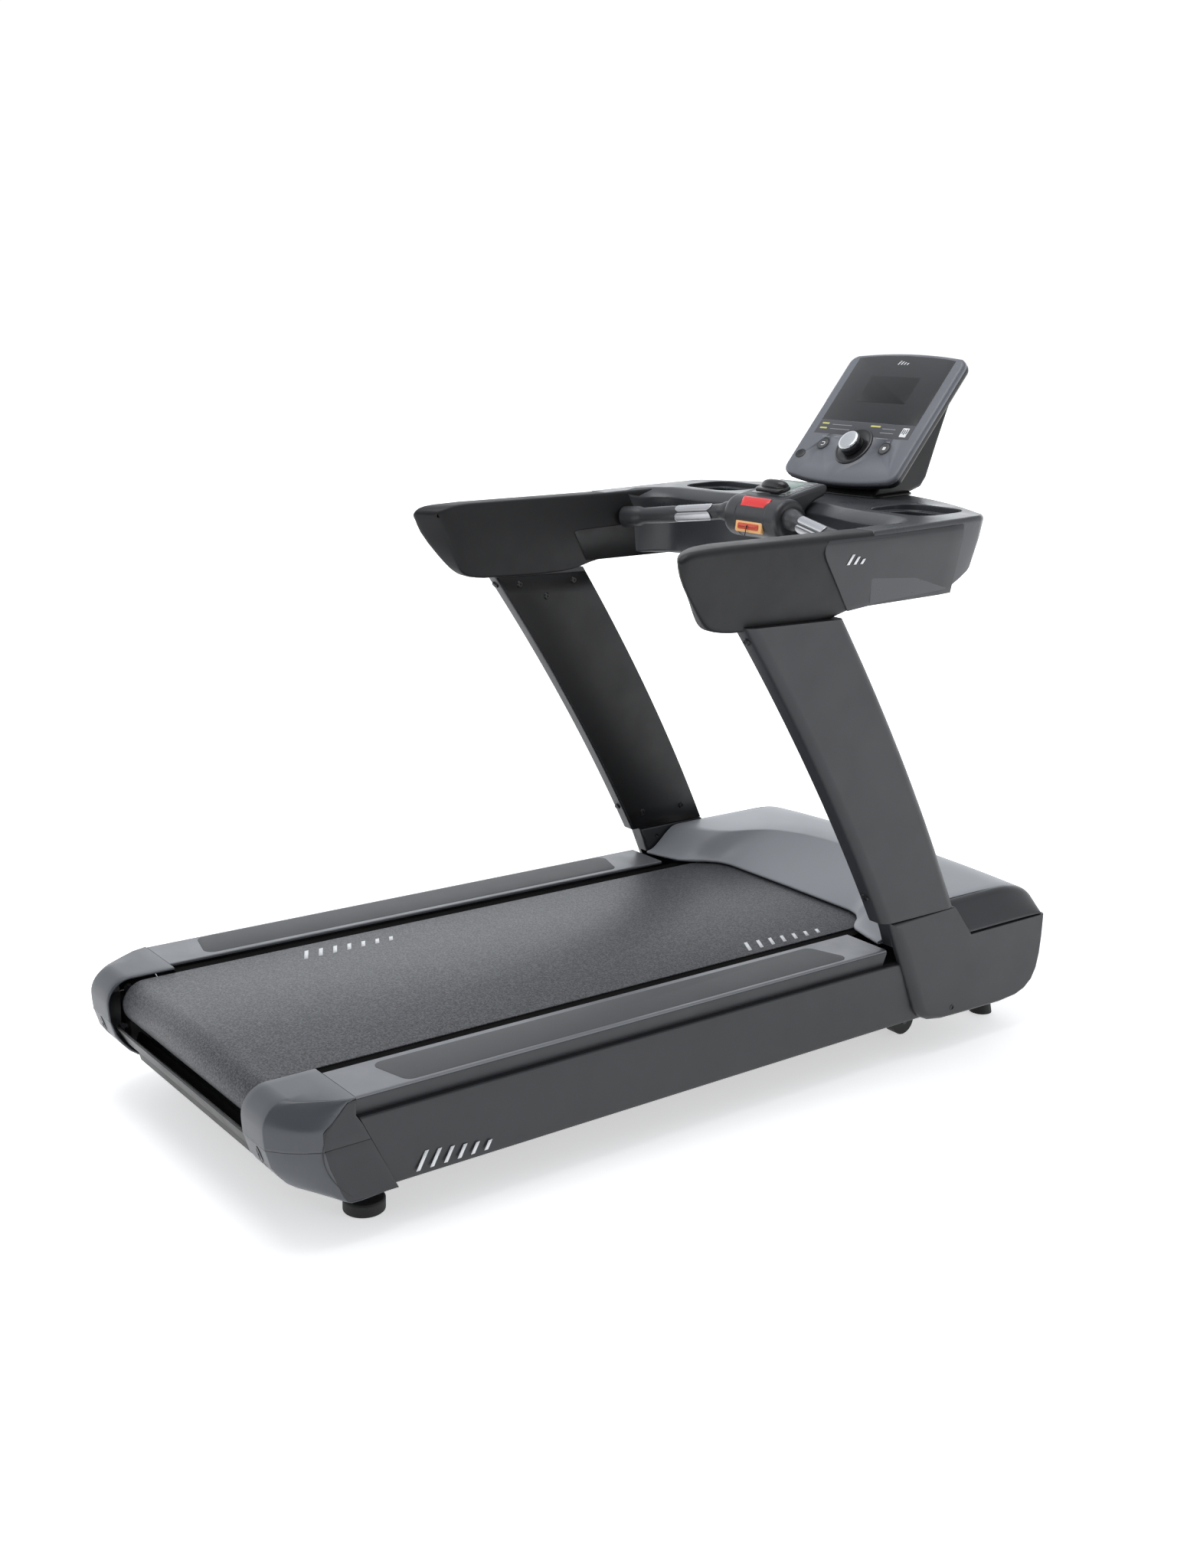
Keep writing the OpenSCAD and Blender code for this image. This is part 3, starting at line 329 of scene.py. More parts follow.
def across(outline, x0, x1, dish=0.0, round1=0.0, steps=4):
    """A (d, z) outline carried from x0 to x1: the x0 end is dished, the edge at x1 rounded."""
    if dish:
        widths = [dish * (1 - sin(a)) for a in quarter(steps)]
        sections = [[(x0 + w, *p) for p in inset(outline, w)] for w in widths]
    else:
        sections = [[(x0, *p) for p in outline]]
    if round1:
        for a in quarter(steps):
            edge = inset(outline, round1 * (1 - cos(a)))
            sections.append([(x1 - round1 + round1 * sin(a), *p) for p in edge])
    else:
        sections.append([(x1, *p) for p in outline])
    return loft(sections)


def upright(outline, z0, z1, round1=0.0, steps=3):
    """An (x, d) outline carried from z0 to z1, its top edge rounded."""
    sections = [[(*p, z0) for p in outline]]
    if round1:
        for a in quarter(steps):
            edge = inset(outline, round1 * (1 - cos(a)))
            sections.append([(*p, z1 - round1 + round1 * sin(a)) for p in edge])
    else:
        sections.append([(*p, z1) for p in outline])
    return loft(sections)


def circle(r, n):
    """n points of a circle about the origin."""
    turns = [2 * pi * i / n for i in range(n)]
    return [(r * cos(a), r * sin(a)) for a in turns]


def lathe(profile, n=48, ring=False):
    """Rings about the local z axis from (radius, height) pairs; a ring's profile closes on itself."""
    return loft([[(*p, h) for p in circle(r, n)] for r, h in profile], ring)


def moved(vf, x=0.0, y=0.0, z=0.0):
    return [(a + x, b + y, c + z) for a, b, c in vf[0]], vf[1]


def placed(vf, origin, ex, ey, ez):
    """Local (a, b, c) carried to origin + a ex + b ey + c ez, in helper millimetres."""
    o, ex, ey, ez = Vector(origin), Vector(ex), Vector(ey), Vector(ez)
    return [tuple(o + ex * a + ey * b + ez * c) for a, b, c in vf[0]], vf[1]


def lerp(a, b, t):
    return a + (b - a) * t


def smooth(t):
    t = max(0.0, min(1.0, t))
    return t * t * (3 - 2 * t)


def table(points, u):
    """Straight-line reading of a list of (u, value) pairs."""
    if u <= points[0][0]:
        return points[0][1]
    for (u0, v0), (u1, v1) in zip(points, points[1:]):
        if u <= u1:
            return lerp(v0, v1, (u - u0) / (u1 - u0))
    return points[-1][1]


def both(name, vf, mat, cad=False, **kw):
    """The same piece on the right and, mirrored, on the left; with cad, each stands for its own node."""
    for side, data in (("right", vf), ("left", mirrored(vf))):
        piece(f"{name}_{side}", *data, mat, rep=(f"{name}_{side}",) if cad else (), **kw)


# ---------------- belt, rails, pads, side panels
R_ROLL = (BELT_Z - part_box("running_belt")[0].z * 1000) / 2
ROLL_Z = BELT_Z - R_ROLL
REAR_AXLE = (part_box("rear_roller")[0].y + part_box("rear_roller")[1].y) * 500 - REAR
FRONT_AXLE = (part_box("drive_axle")[0].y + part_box("drive_axle")[1].y) * 500 - REAR
BELT_T = 2.6


def round_axle(axle, a0, a1, step):
    """(d, z, axle) points of the belt's outer face round one roller."""
    turns = [radians(a) for a in range(a0, a1, step)]
    return [(axle + R_ROLL * cos(a), ROLL_Z + R_ROLL * sin(a), axle) for a in turns]


belt_section = [(-BELT_X, BELT_T * 0.8), (-BELT_X, 0.8), (-BELT_X + 0.8, 0), (BELT_X - 0.8, 0),
                (BELT_X, 0.8)]
belt_section += [(BELT_X, BELT_T * 0.8), (BELT_X - 0.6, BELT_T), (-BELT_X + 0.6, BELT_T)]
rings = []
for d, z, axle in round_axle(REAR_AXLE, 90, 271, 9) + round_axle(FRONT_AXLE, -90, 91, 12):
    n = Vector((d - axle, z - ROLL_Z)).normalized()
    rings.append([(x, d - n.x * t, z - n.y * t) for x, t in belt_section])
piece("belt", *loft(rings, ring=True), "belt", rep=("running_belt",), slot="belt_surface")


def chevrons(origin, ex, ey, ez, count, size, gap, bar):
    """A plain row of slanted bars, as a neutral printed mark."""
    parts = []
    for i in range(count):
        a = i * gap
        h = size * (1.0 - 0.5 * i / max(1, count - 1))
        q = [(a, 0), (a + bar, 0), (a + bar + h * 0.55, h), (a + h * 0.55, h)]
        parts.append(loft([[(*p, 0) for p in q], [(*p, 0.25) for p in q]]))
    return placed(join(*parts), origin, ex, ey, ez)


mark_l = chevrons((-206, 380, BELT_Z - 0.05), (0, 1, 0), (-1, 0, 0), (0, 0, 1), 7, 42, 33, 9)
mark_r = chevrons((262, 1168, BELT_Z - 0.05), (0, 1, 0), (-1, 0, 0), (0, 0, 1), 7, 42, 33, 9)
piece("belt_marks", *join(mark_l, mark_r), "print")

rail_section = [(RAIL_IN, RAIL_Z - 6), (RAIL_IN, RAIL_Z - 1.5), (RAIL_IN + 1.5, RAIL_Z),
                (RAIL_OUT - 5, RAIL_Z), (RAIL_OUT - 2, RAIL_Z - 0.8), (RAIL_OUT - 0.6, RAIL_Z - 2.6),
                (RAIL_OUT, RAIL_Z - 5), (RAIL_OUT - 1.5, RAIL_Z - 12), (RAIL_OUT - 5, RAIL_Z - 22),
                (RAIL_OUT - 8, RAIL_Z - 32), (RAIL_OUT - 14, RAIL_Z - 32), (RAIL_OUT - 8, RAIL_Z - 6)]
rail = loft([[(x, d, z) for x, z in rail_section] for d in (141, 142, 600, 1000, 1401)])
both("rail", rail, "rail", cad=True, slot="rail_aluminium", bevel=0.5, seg=2)
bevel_section = [(RAIL_OUT - 0.6, RAIL_Z - 3.4), (RAIL_OUT + 0.5, RAIL_Z - 5), (RAIL_OUT - 1.0, RAIL_Z - 12),
                 (RAIL_OUT - 4.4, RAIL_Z - 22), (RAIL_OUT - 7.4, RAIL_Z - 32),
                 (RAIL_OUT - 10, RAIL_Z - 39.5), (RAIL_OUT - 14, RAIL_Z - 39.5), (RAIL_OUT - 8, RAIL_Z - 12),
                 (RAIL_OUT - 3, RAIL_Z - 4)]
both("rail_bevel", loft([[(x, d, z) for x, z in bevel_section] for d in (141, 600, 1000, 1401)]), "graphite",
     slot="graphite_shell", bevel=0.3, seg=2)


def pad_plan(w):
    x0, x1, d0, d1, r = RAIL_IN + 14 + w, RAIL_OUT - 9 - w, 228 + w, 1298 - w, 20 - w
    return (arc(x0 + r, d0 + r, r, 180, 270, 6) + arc(x1 - r, d0 + 14 + r, r, 285, 360, 6)
            + arc(x1 - r, d1 - r, r, 0, 90, 6) + arc(x0 + r, d1 - 20 - r, r, 100, 180, 6))


both("pad", upright(pad_plan(0), RAIL_Z - 0.2, RAIL_Z + 0.4, 0.4), "pad", slot="grip_texture")
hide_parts("grip_pads")
RIDGE = RAIL_Z - 38.5
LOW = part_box("side_panel_right")[0].z * 1000
ridge_pts = [(RAIL_OUT - 12, RIDGE + 1), (RAIL_OUT - 6, RIDGE), (RAIL_OUT - 1.5, RIDGE - 1.2),
             (RAIL_OUT + 0.6, RIDGE - 3.5), (RAIL_OUT + 1.5, RIDGE - 8), (RAIL_OUT + 1.2, RIDGE - 30),
             (RAIL_OUT - 1, RIDGE - 90), (RAIL_OUT - 4.5, LOW + 12), (RAIL_OUT - 7, LOW + 4),
             (RAIL_OUT - 12, LOW + 0.5), (RAIL_OUT - 34, LOW), (RAIL_OUT - 34, LOW + 4),
             (RAIL_OUT - 14, LOW + 5), (RAIL_OUT - 9, RIDGE - 20)]


def slant(z, gap=0.0):
    """The slanted seam between a side panel and a rear cap."""
    return 146 + gap + (RIDGE - z) * 74 / (RIDGE - LOW)


panel = loft([[(x, slant(z, 0.8), z) for x, z in ridge_pts]] + [[(x, d, z) for x, z in ridge_pts]
    for d in (240, 600, 1000, 1300, 1540)])
both("side_panel", panel, "graphite", cad=True, slot="graphite_shell", bevel=0.5, seg=2)
pm = chevrons((RAIL_OUT + 0.25, 256, 98), (0, 1, 0), (-0.03, 0, 1), (1, 0, 0.03), 6, 34, 28, 8)
piece("panel_mark_right", *pm, "print")
piece("panel_mark_left", *mirrored(pm), "print")

# ---------------- rear caps
CAP_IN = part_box("cap_right")[0].x * 1000
CAP_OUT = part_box("cap_right")[1].x * 1000
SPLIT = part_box("cap_base_right")[1].z * 1000
NOSE = 48  # radius of the cap's upper rear corner


def cap_line():
    """(d, z) side outline from the top seam, round the nose, to the lower front."""
    pts = [(140, RAIL_Z), (110, RAIL_Z), (80, RAIL_Z)] + arc(NOSE, RAIL_Z - NOSE, NOSE, 90, 180, 10)
    pts += [(0.8, 205), (2.5, 190), (7, 170), (14, 150), (27, 131), (42, 114), (58, 102), (80, 91),
            (104, 82), (124, 76.5), (150, 76), (180, 78), (214, 80)]
    return pts


CREASE_X = 374


def cap_columns():
    """Across stations: x, how far the nose is pulled forward, and how far the outline is drawn in."""
    cols = [(CAP_IN, 3.0, 3.5), (CAP_IN + 1.2, 1.2, 1.4), (CAP_IN + 4, 0, 0)]
    cols += [(x, 0, 0) for x in (310, 335, 356, CREASE_X - 1.5)]
    cols += [(CREASE_X + x, pull, 0) for x, pull in ((1.2, 0.8), (11, 8.5), (22, 18), (33, 29), (43, 41),
        (51, 53), (56, 63))]
    return cols + [(CAP_OUT, 78, 1.5)]


def cap_point(x, pull, draw, d, z):
    """One point of the cap's skin; past the crease it falls away to the side wall."""
    dd = d + pull * (1 - smooth(d / 150))
    zz = z + (1 if z < 175 else -1) * draw
    if x > CREASE_X:
        high, ahead = smooth((z - RAIL_Z + 60) / 60), smooth((d - 10) / 130)
        zz -= 26 * (x - CREASE_X) / (CAP_OUT - CREASE_X) * (1 - ahead) * high
        x += (CAP_OUT - x) * ahead * high * 0.97
    return (x, dd, zz)


line = cap_line()
cols = cap_columns()
hi = [p for p in line if p[1] >= SPLIT]
lo = [p for p in line if p[1] <= SPLIT + 3]
hi.append((2.5, SPLIT + 0.5))
lo[0] = (3.4, SPLIT - 0.6)


def cap_skin(points):
    return grid([[cap_point(x, pull, draw, d, z) for x, pull, draw in cols] for d, z in points])


tail = [(16, 170), (19, 173), (24, 170), (40, 138), (66, 116), (112, 101), (170, 96), (170, 92), (110, 96.5),
        (63, 111), (36, 134)]
piece("tail_panel", *across(tail, -CAP_IN - 1, CAP_IN + 1), "black", bevel=0.5, seg=2)
# the cap skins wear the lighter cap colour as a painted reflection on the top, rear and nose; the side walls
# keep the plain graphite, though all are one plastic
both("cap", cap_skin(hi), "cap", cad=True, slot="cap_shell", solid=3)
both("cap_base", cap_skin(lo), "cap", cad=True, slot="graphite_shell", solid=3)


def side_wall(x, rows):
    """A flat wall at x from rows of (d0, d1, z)."""
    return grid([[(x, lerp(d0, d1, t / 6), z) for t in range(7)] for d0, d1, z in rows])


def nose_at(z):
    """Where the outline's rear edge is at height z, on the outer face."""
    pts = [cap_point(*cols[-1], d, zz) for d, zz in line]
    prev = pts[0]
    for p in pts[1:]:
        if (prev[2] - z) * (p[2] - z) <= 0 and prev[2] != p[2]:
            return lerp(prev[1], p[1], (z - prev[2]) / (p[2] - prev[2]))
        prev = p
    return pts[-1][1]


zs_hi = [RAIL_Z - 4.4, RAIL_Z - 10, RAIL_Z - 20, RAIL_Z - 32, RAIL_Z - 50, SPLIT + 20, SPLIT + 0.5]
rows_hi = [(nose_at(z), 140 if z > RIDGE else slant(z), z) for z in zs_hi]
zs_lo = [SPLIT - 0.6, 170, 150, 130, 112, 98, 90, 84, 80.5]
rows_lo = [(nose_at(z), slant(z), z) for z in zs_lo]
both("cap_side", side_wall(CAP_OUT, rows_hi), "graphite", solid=3)
both("cap_base_side", side_wall(CAP_OUT, rows_lo), "graphite", solid=3)

face_d = sorted((z, d) for d, z in line if 76 < z < 206)
slot = [(6.5 * cos(radians(a)), 22 * sin(radians(a))) for a in range(0, 360, 15)]
slot_v, slot_f = upright(slot, -2, 0.5, 0.3)
both("cap_slot", ([(341 + a, table(face_d, 158 + b) - c - 0.2, 158 + b) for a, b, c in slot_v], slot_f),
     "gloss_black")


def cap_groove(points):
    """A thin dark line just outside the cap's skin."""
    rows = []
    for d, z in points:
        skin = [cap_point(x, pull, draw, d, z) for x, pull, draw in cols]
        rows.append([(x + (0.25 if i > 8 else 0), dd - (0.25 if i < 9 else 0.05), zz)
                     for i, (x, dd, zz) in enumerate(skin)])
    return grid(rows)


both("cap_split", cap_groove([(3.0, SPLIT + 0.9), (3.1, SPLIT - 0.9)]), "gloss_black")
arc_line = []
for k in range(15):
    t = k / 14
    z = lerp(SPLIT + 34, 88, t)
    d = 118 - 58 * sin(pi * min(1, t * 0.62 + 0.19)) + 46 * t
    arc_line.append((d, z))
rows = [[(CAP_OUT + 0.3, d - 0.9, z), (CAP_OUT + 0.3, d + 0.9, z)] for d, z in arc_line]
both("cap_arc", grid(rows), "gloss_black")

# ---------------- hood
LIP = [(0, 1528), (200, 1526), (232, 1517), (258, 1494), (280, 1462), (300, 1444), (340, 1431), (392, 1419)]
CREASE = [(0, 1700), (60, 1697), (120, 1685), (180, 1660), (207, 1640), (228, 1604), (244, 1560),
          (270, 1534), (320, 1520), (392, 1505)]


def dome(x):
    return HOOD_Z - 1.5 - 13 * (abs(x) / 392) ** 2.4


def front_of(x):
    return LENGTH - 0.5 - 12 * max(0.0, (abs(x) - 400) / 50) ** 2


FRONT_ARC = [radians(a) for a in (8, 16, 24, 32, 40, 48, 56, 64, 72, 80, 86, 90)]


def hood_column(x):
    """Points of the hood's skin along one line fore and aft."""
    a = abs(x)
    d0, d1, top = table(LIP, a), table(CREASE, a), dome(x)
    soft = smooth((a - 236) / 50)
    z0 = RAIL_Z + 4.5
    col = [(d0 + 16, RAIL_Z - 3.2), (d0 + 2, RAIL_Z - 3.4), (d0 - 2.4, RAIL_Z - 2.2), (d0 - 4, RAIL_Z + 0.4),
           (d0 - 3.2, RAIL_Z + 3), (d0, z0)]
    for t in (0.06, 0.13, 0.2, 0.3, 0.4, 0.5, 0.6, 0.7, 0.8, 0.88, 0.94, 0.975, 0.992):
        rise = lerp(t ** 0.93, smooth(t), soft)
        col.append((lerp(d0, d1, t), lerp(z0, top - 1.6, rise)))
    col += [(d1 + 1, top - 1.1), (d1 + 5, top - 0.5), (d1 + 12, top)]
    d2 = 1775
    col += [(lerp(d1 + 12, d2, t), top + 1.2 * sin(pi * t)) for t in (0.25, 0.5, 0.75, 1.0)]
    front, low = front_of(x), RAIL_Z - 8
    for ang in FRONT_ARC:
        col.append((d2 + (front - d2) * sin(ang) ** 0.9, low + (top - low) * max(0.0, cos(ang)) ** 0.62))
    return [(x, d, z) for d, z in col]


xs = [0, 30, 60, 90, 120, 150, 180, 200, 214, 226, 236, 246, 258, 270, 285, 300, 320, 345, 370, 392]
xs = [-x for x in reversed(xs[1:])] + xs
main = grid([hood_column(x) for x in xs])


def skirt_column(x, drop):
    """The steep side of the hood, from the top edge out and down to the seam."""
    top = dome(392)
    z = top - drop
    start = 1599 + (BOOT_TOP - 4 - z) * 0.79 if z < BOOT_TOP - 4 else 1598
    d2, front, low = 1775, front_of(x), RAIL_Z - 8
    col = [(lerp(start, d2, t), z) for t in (0, 0.1, 0.3, 0.6, 1.0)]
    for ang in FRONT_ARC:
        k = cos(ang)
        zt = low + (top - low) * max(0.0, k) ** 0.62
        share = (z - low) / (top - low)
        col.append((d2 + (front - d2) * sin(ang) ** 0.9, low + (zt - low) * share if share > 0 else low))
    return [(x, d, z) for d, z in col]


skirt_cols = [(391.6, 0), (398, 0.8), (403, 3.0), (407.5, 6.5), (411.5, 11), (418, 21), (430, 38), (440, 52),
              (444.5, 59), (447, 64)]
skirt = grid([skirt_column(x, drop) for x, drop in skirt_cols])
# the hood's top wears the pale hood colour as a painted reflection; the skirt below is the same plastic in
# its plain graphite
piece("hood", *main, "hood", rep=("hood", "hood_scoop"), slot="hood_shell", solid=3.0)
piece("hood_skirt", *join(skirt, mirrored(skirt)), "graphite", slot="graphite_shell", solid=3.0)
front = [(RAIL_OUT + 10) * s for s in (-1, -0.98, -0.5, 0, 0.5, 0.98, 1)]
frows = []
for d, z in ((1896, RAIL_Z - 8.5), (1899, RAIL_Z - 14), (1899, 212), (1898, 180), (1892, 142), (1880, 112),
             (1862, 94), (1840, 86)):
    frows.append([(x, d - 3, z) for x in front])
piece("front_panel", *grid(frows), "graphite", rep=("front_panel",), slot="graphite_shell", solid=3.0)
for k in range(5):
    v = across([(1898.6 - 3 + 0.2, 188 - k * 9), (1898.8, 188 - k * 9), (1898.0, 183 - k * 9),
                (1894.6, 183 - k * 9)], -150, 150)
    piece(f"front_vent_{k}", *v, "black")

# ---------------- boots and posts
BOOT = [(1397, BOOT_TOP), (1407, 306), (1423, 270), (1438, 237), (1453, 204), (1468, 170), (1483, 137),
        (1495, 112), (1512, 94), (1535, 83), (1574, 77), (1640, 75), (1765, 73), (1820, 77), (1850, 86),
        (1874, 104), (1889, 130), (1896.5, 165), (1899.5, 205), (1899.5, 240), (1899.5, RAIL_Z - 8.6),
        (1800, RAIL_Z - 8.6), (1720, RAIL_Z - 8.6), (1649, RAIL_Z - 8.6), (1624, 292), (1603, 320),
        (1596, BOOT_TOP - 1), (1592, BOOT_TOP)]
BOOT_W = [10, 26, 28, 28, 28, 28, 26, 22, 18, 14, 10, 9, 9, 9, 10, 10, 11, 11, 11, 10, 0.8, 0.8, 0.8, 0.8,
          0.8, 0.8, 0.8, 0.8]


def flare(p):
    """The boot's outer face draws in to meet the post."""
    x, d, z = p
    if x > RAIL_OUT + 3:
        out = (x - RAIL_OUT - 3) / (BOOT_X - RAIL_OUT - 3)
        x -= 4.4 * smooth((z - 250) / 75) * (1 - smooth((d - 1590) / 70)) * out
    return (x, d, z)


secs = [[(RAIL_OUT - 6, *p) for p in BOOT], [(RAIL_OUT + 1, *p) for p in BOOT]]
for k in range(7):
    th = radians(15 * k)
    ring_pts = inset(BOOT, [w * (1 - cos(th)) for w in BOOT_W])
    ring_pts[20] = (ring_pts[19][0], ring_pts[20][1])
    secs.append([(BOOT_X - 14 + 14 * sin(th), *p) for p in ring_pts])
boot_v, boot_f = loft(secs)
boot_v = [flare(p) for p in boot_v]
wrap = [(1397, BOOT_TOP), (1410, 300), (1422, RAIL_Z + 0.4), (1640, RAIL_Z + 0.4), (1640, 274), (1603, 320),
        (1592, BOOT_TOP)]
wrap_secs = []
for deg in (90, 60, 30, 0):
    in_by = 6 * (1 - sin(radians(90 - deg)))
    edge = inset(wrap, [in_by if i < 3 else 0 for i in range(len(wrap))])
    wrap_secs.append([(POST_IN + 6 - 6 * sin(radians(deg)), *p) for p in edge])
inner = loft(wrap_secs + [[(RAIL_OUT - 4, *p) for p in wrap]])
both("boot", join((boot_v, boot_f), inner), "graphite", cad=True, slot="graphite_shell", bevel=0.9, seg=2,
     angle=50)


def hole(name, x, d, z, r, facing):
    """A dark screw recess on a face at x that looks along facing * x."""
    ring = lathe([(r + 1.2, 0.3), (r, 0.5), (r - 0.4, 0.1), (r - 0.6, 0.06), (0.01, 0.06)], 24)
    piece(name, *placed(ring, (x, d, z), (0, 1, 0), (0, 0, 1), (facing, 0, 0)), "black")


for sx, side in ((1, "right"), (-1, "left")):
    hole(f"boot_hole_low_{side}", sx * BOOT_X, 1603, 99, 5.5, sx)
    hole(f"boot_hole_a_{side}", sx * POST_IN, 1450, 305, 4.5, -sx)


def rear(z):
    t = ARM_Z - z
    return 968 + 0.734 * t - 0.00016 * t * t


def fore(z):
    return rear(z) + 250 - 0.046 * (ARM_Z - z)


def post_section(z, grow=0.0):
    r, f = rear(z) - grow, fore(z) + grow
    x0, x1 = POST_IN + 3.4, POST_OUT + grow
    pts = [(x0, r + 2.5), (x0 + 2.5, r)]
    pts += [(x1 - 18 + 18 * sin(radians(a)), r + 26 - 26 * cos(radians(a))) for a in (0, 18, 36, 54, 72, 90)]
    pts += [(x1 - 16 + 16 * cos(radians(a)), f - 24 + 24 * sin(radians(a))) for a in (0, 18, 36, 54, 72, 90)]
    pts += [(x0 + 2.5, f), (x0, f - 2.5)]
    return [(x, d, z) for x, d in pts]


zs = [BOOT_TOP + 0.8, BOOT_TOP + 2] + [BOOT_TOP + 2 + (ARM_Z + 8 - BOOT_TOP) * k / 16 for k in range(1, 17)]
both("post", loft([post_section(z, -0.6 if i == 0 else 0) for i, z in enumerate(zs)]), "post", cad=True,
     slot="post_paint", bevel=0.5, seg=2, angle=40)
for z in (ARM_Z - 19, 392):
    slope = (rear(z - 5) - rear(z + 5)) / 10
    n = Vector((0, -1, -slope)).normalized()
    head = lathe([(9.5, -1.5), (9.5, 0.4), (8.2, 0.6), (7.2, 0.6), (7.0, 3.4), (6.0, 4.4), (3.4, 4.8),
                  (3.2, 2.6), (0.01, 2.6)], 30)
    both(f"post_bolt_{int(z)}", placed(head, (418, rear(z) + 0.6, z), (1, 0, 0),
                                       tuple(n.cross(Vector((1, 0, 0)))), tuple(n)), "bolt",
         slot="bolt_black")
zc = [BOOT_TOP + 3 + (ARM_Z - BOOT_TOP - 4) * k / 14 for k in range(15)]
cover = [[(POST_IN + x, d, z) for x, d in ((3.6, rear(z) + 4), (0.6, rear(z) + 4), (0, rear(z) + 5),
                                           (0, fore(z) - 5), (0.6, fore(z) - 4), (3.6, fore(z) - 4))]
         for z in zc]
both("post_cover", loft(cover), "charcoal", cad=True, slot="charcoal_shell")

# ---------------- arms
ARM_TOP = [(782, 1119), (784, 1124), (789, 1128.5), (798, 1132), (812, 1135), (835, 1137.5), (900, 1141),
           (1285, 1151.5), (1590, 1165)]
ARM_LOW = [(782, 1115), (784, 1106), (789, 1090), (798, 1072), (812, 1051), (828, 1031), (842, 1015.5),
           (858, 1001), (875, 989), (895, 981.5), (918, 977.8), (940, 975.8), (1077, 975.3), (1150, 978),
           (1190, 983.5), (1227, 994), (1250, 999), (1486, 1008), (1540, 1012)]
ARM_THIN = [(782, 15), (784, 9.5), (789, 5), (798, 2), (812, 0.6), (835, 0)]


def turned(degrees):
    """(cosine, sine) of each angle."""
    return [(cos(radians(a)), sin(radians(a))) for a in degrees]


def arm_lean(zt, zb):
    """How far the outer face draws in from top to bottom."""
    return 27 * min(1, (zt - zb) / 160)


def arm_section(d):
    e = table(ARM_THIN, d)
    zt, zb = table(ARM_TOP, d), table(ARM_LOW, d)
    r, rb = min(15, (zt - zb) * 0.48), min(13, (zt - zb) * 0.48)
    x0, x1 = POST_IN - 1.8 + e * 0.5, ARM_OUT - e
    lean = arm_lean(zt, zb)
    xb = x1 - lean + 0.4 * rb * lean / max(1.0, zt - zb)
    pts = [(x0 + 6 - 6 * c, zt - 6 + 6 * s) for c, s in turned((0, 30, 60, 90))]
    pts += [(x1 - r + r * s, zt - r + r * c) for c, s in turned((0, 18, 36, 54, 72, 90))]
    pts += [(xb - rb + rb * c, zb + rb - rb * s) for c, s in turned((8, 26, 44, 62, 80, 90))]
    pts += [(x0 + 6 - 6 * s, zb + 6 - 6 * c) for c, s in turned((0, 30, 60, 90))]
    lag = 40 * (1 - smooth((d - 782) / 120))
    return [(x, d + lag * ((ARM_OUT - x) / 56) ** 1.4, z) for x, z in pts]


ARM_STATIONS = [782, 784, 786.5, 789, 793, 798, 804, 812, 822, 835, 847, 860, 870, 880, 890, 900, 918, 940,
                980]
ARM_STATIONS += [1030, 1077, 1115, 1150, 1170, 1190, 1208, 1227, 1250, 1300, 1400, 1490]
both("arm", loft([arm_section(d) for d in ARM_STATIONS]), "grip", cad=True, slot="soft_grip")


def arm_face(d, z):
    """x of the arm's outer face at that place."""
    zt, zb = table(ARM_TOP, d), table(ARM_LOW, d)
    return ARM_OUT - arm_lean(zt, zb) * (zt - 15 - z) / max(1.0, zt - zb - 28) if z < zt - 15 else ARM_OUT


# outer side panel, from its slanted seam to the tray's front corner
PANEL_SEAM = [(997, 1227), (1103, 1141), (1114, 1135), (1124, 1133), (1133, 1137)]
PANEL_ROWS = 12


def panel_point(d, t):
    """One point of the panel: at station d, or on the seam where d is None."""
    if d is None:
        z = lerp(997, 1139, t)
        d = table(PANEL_SEAM, z) if z < 1136 else 1143
    else:
        z = lerp(table(ARM_LOW, d) + 3, table(ARM_TOP, d) - 9, t)
    return (min(ARM_OUT - 0.05, arm_face(d, z) + 3.6), d, z)


panel_v, panel_f = grid([[panel_point(d, i / PANEL_ROWS) for d in (None, 1280, 1330, 1380, 1430, 1480, 1516)]
                         for i in range(PANEL_ROWS + 1)])
both("arm_panel", (panel_v, panel_f), "graphite", cad=True, slot="graphite_shell", solid=5)
inner_panel = across([(1178, 1066), (1190, 1070), (1330, 1078), (1474, 1086), (1474, 1006), (1230, 1000),
                      (1214, 1001)], POST_IN - 3.2, POST_IN + 2, 1.0)
both("arm_inner_panel", inner_panel, "charcoal", slot="charcoal_shell")
arm_mark = chevrons((ARM_OUT - 4.2, 1196, 1090), (0, 1, 0), (0.19, 0, 1), (1, 0, -0.19), 3, 20, 18, 7)
piece("arm_mark_right", *arm_mark, "print")

# ---------------- tray with its cup holders
NOSE_D, HUB_D = 1735, 1452


def tray_top(d):
    return 1151.5 + (d - 1262) * 0.0537


def outer_plan():
    pts = [(ARM_OUT - 1.5, 1262), (ARM_OUT - 1.5, 1400), (ARM_OUT - 2, 1500), (ARM_OUT - 4, 1545)]
    pts += [(ARM_OUT - 44 + 40 * cos(radians(a)), 1560 + 44 * sin(radians(a))) for a in (12, 28, 44, 60)]
    pts += [(x, NOSE_D - 6 - 128 * (x / 424) ** 2) for x in (386, 340, 280, 210, 140, 70)]
    return pts


right_side = outer_plan()
user = [(POST_IN - 1.8, 1262), (POST_IN - 1.8, 1330), (POST_IN - 6, 1362), (POST_IN - 20, 1392),
        (POST_IN - 44, 1414), (POST_IN - 80, 1424), (230, 1428), (160, 1440), (110, HUB_D), (50, HUB_D + 4)]
plan = right_side + [(0, NOSE_D - 6)] + [(-x, d) for x, d in reversed(right_side)] + [(-x, d) for x,
    d in user] + [(0, HUB_D + 4)] + list(reversed(user))
n_out = 2 * len(right_side) + 1
is_user = [i >= n_out + 2 and i < len(plan) - 2 for i in range(len(plan))]


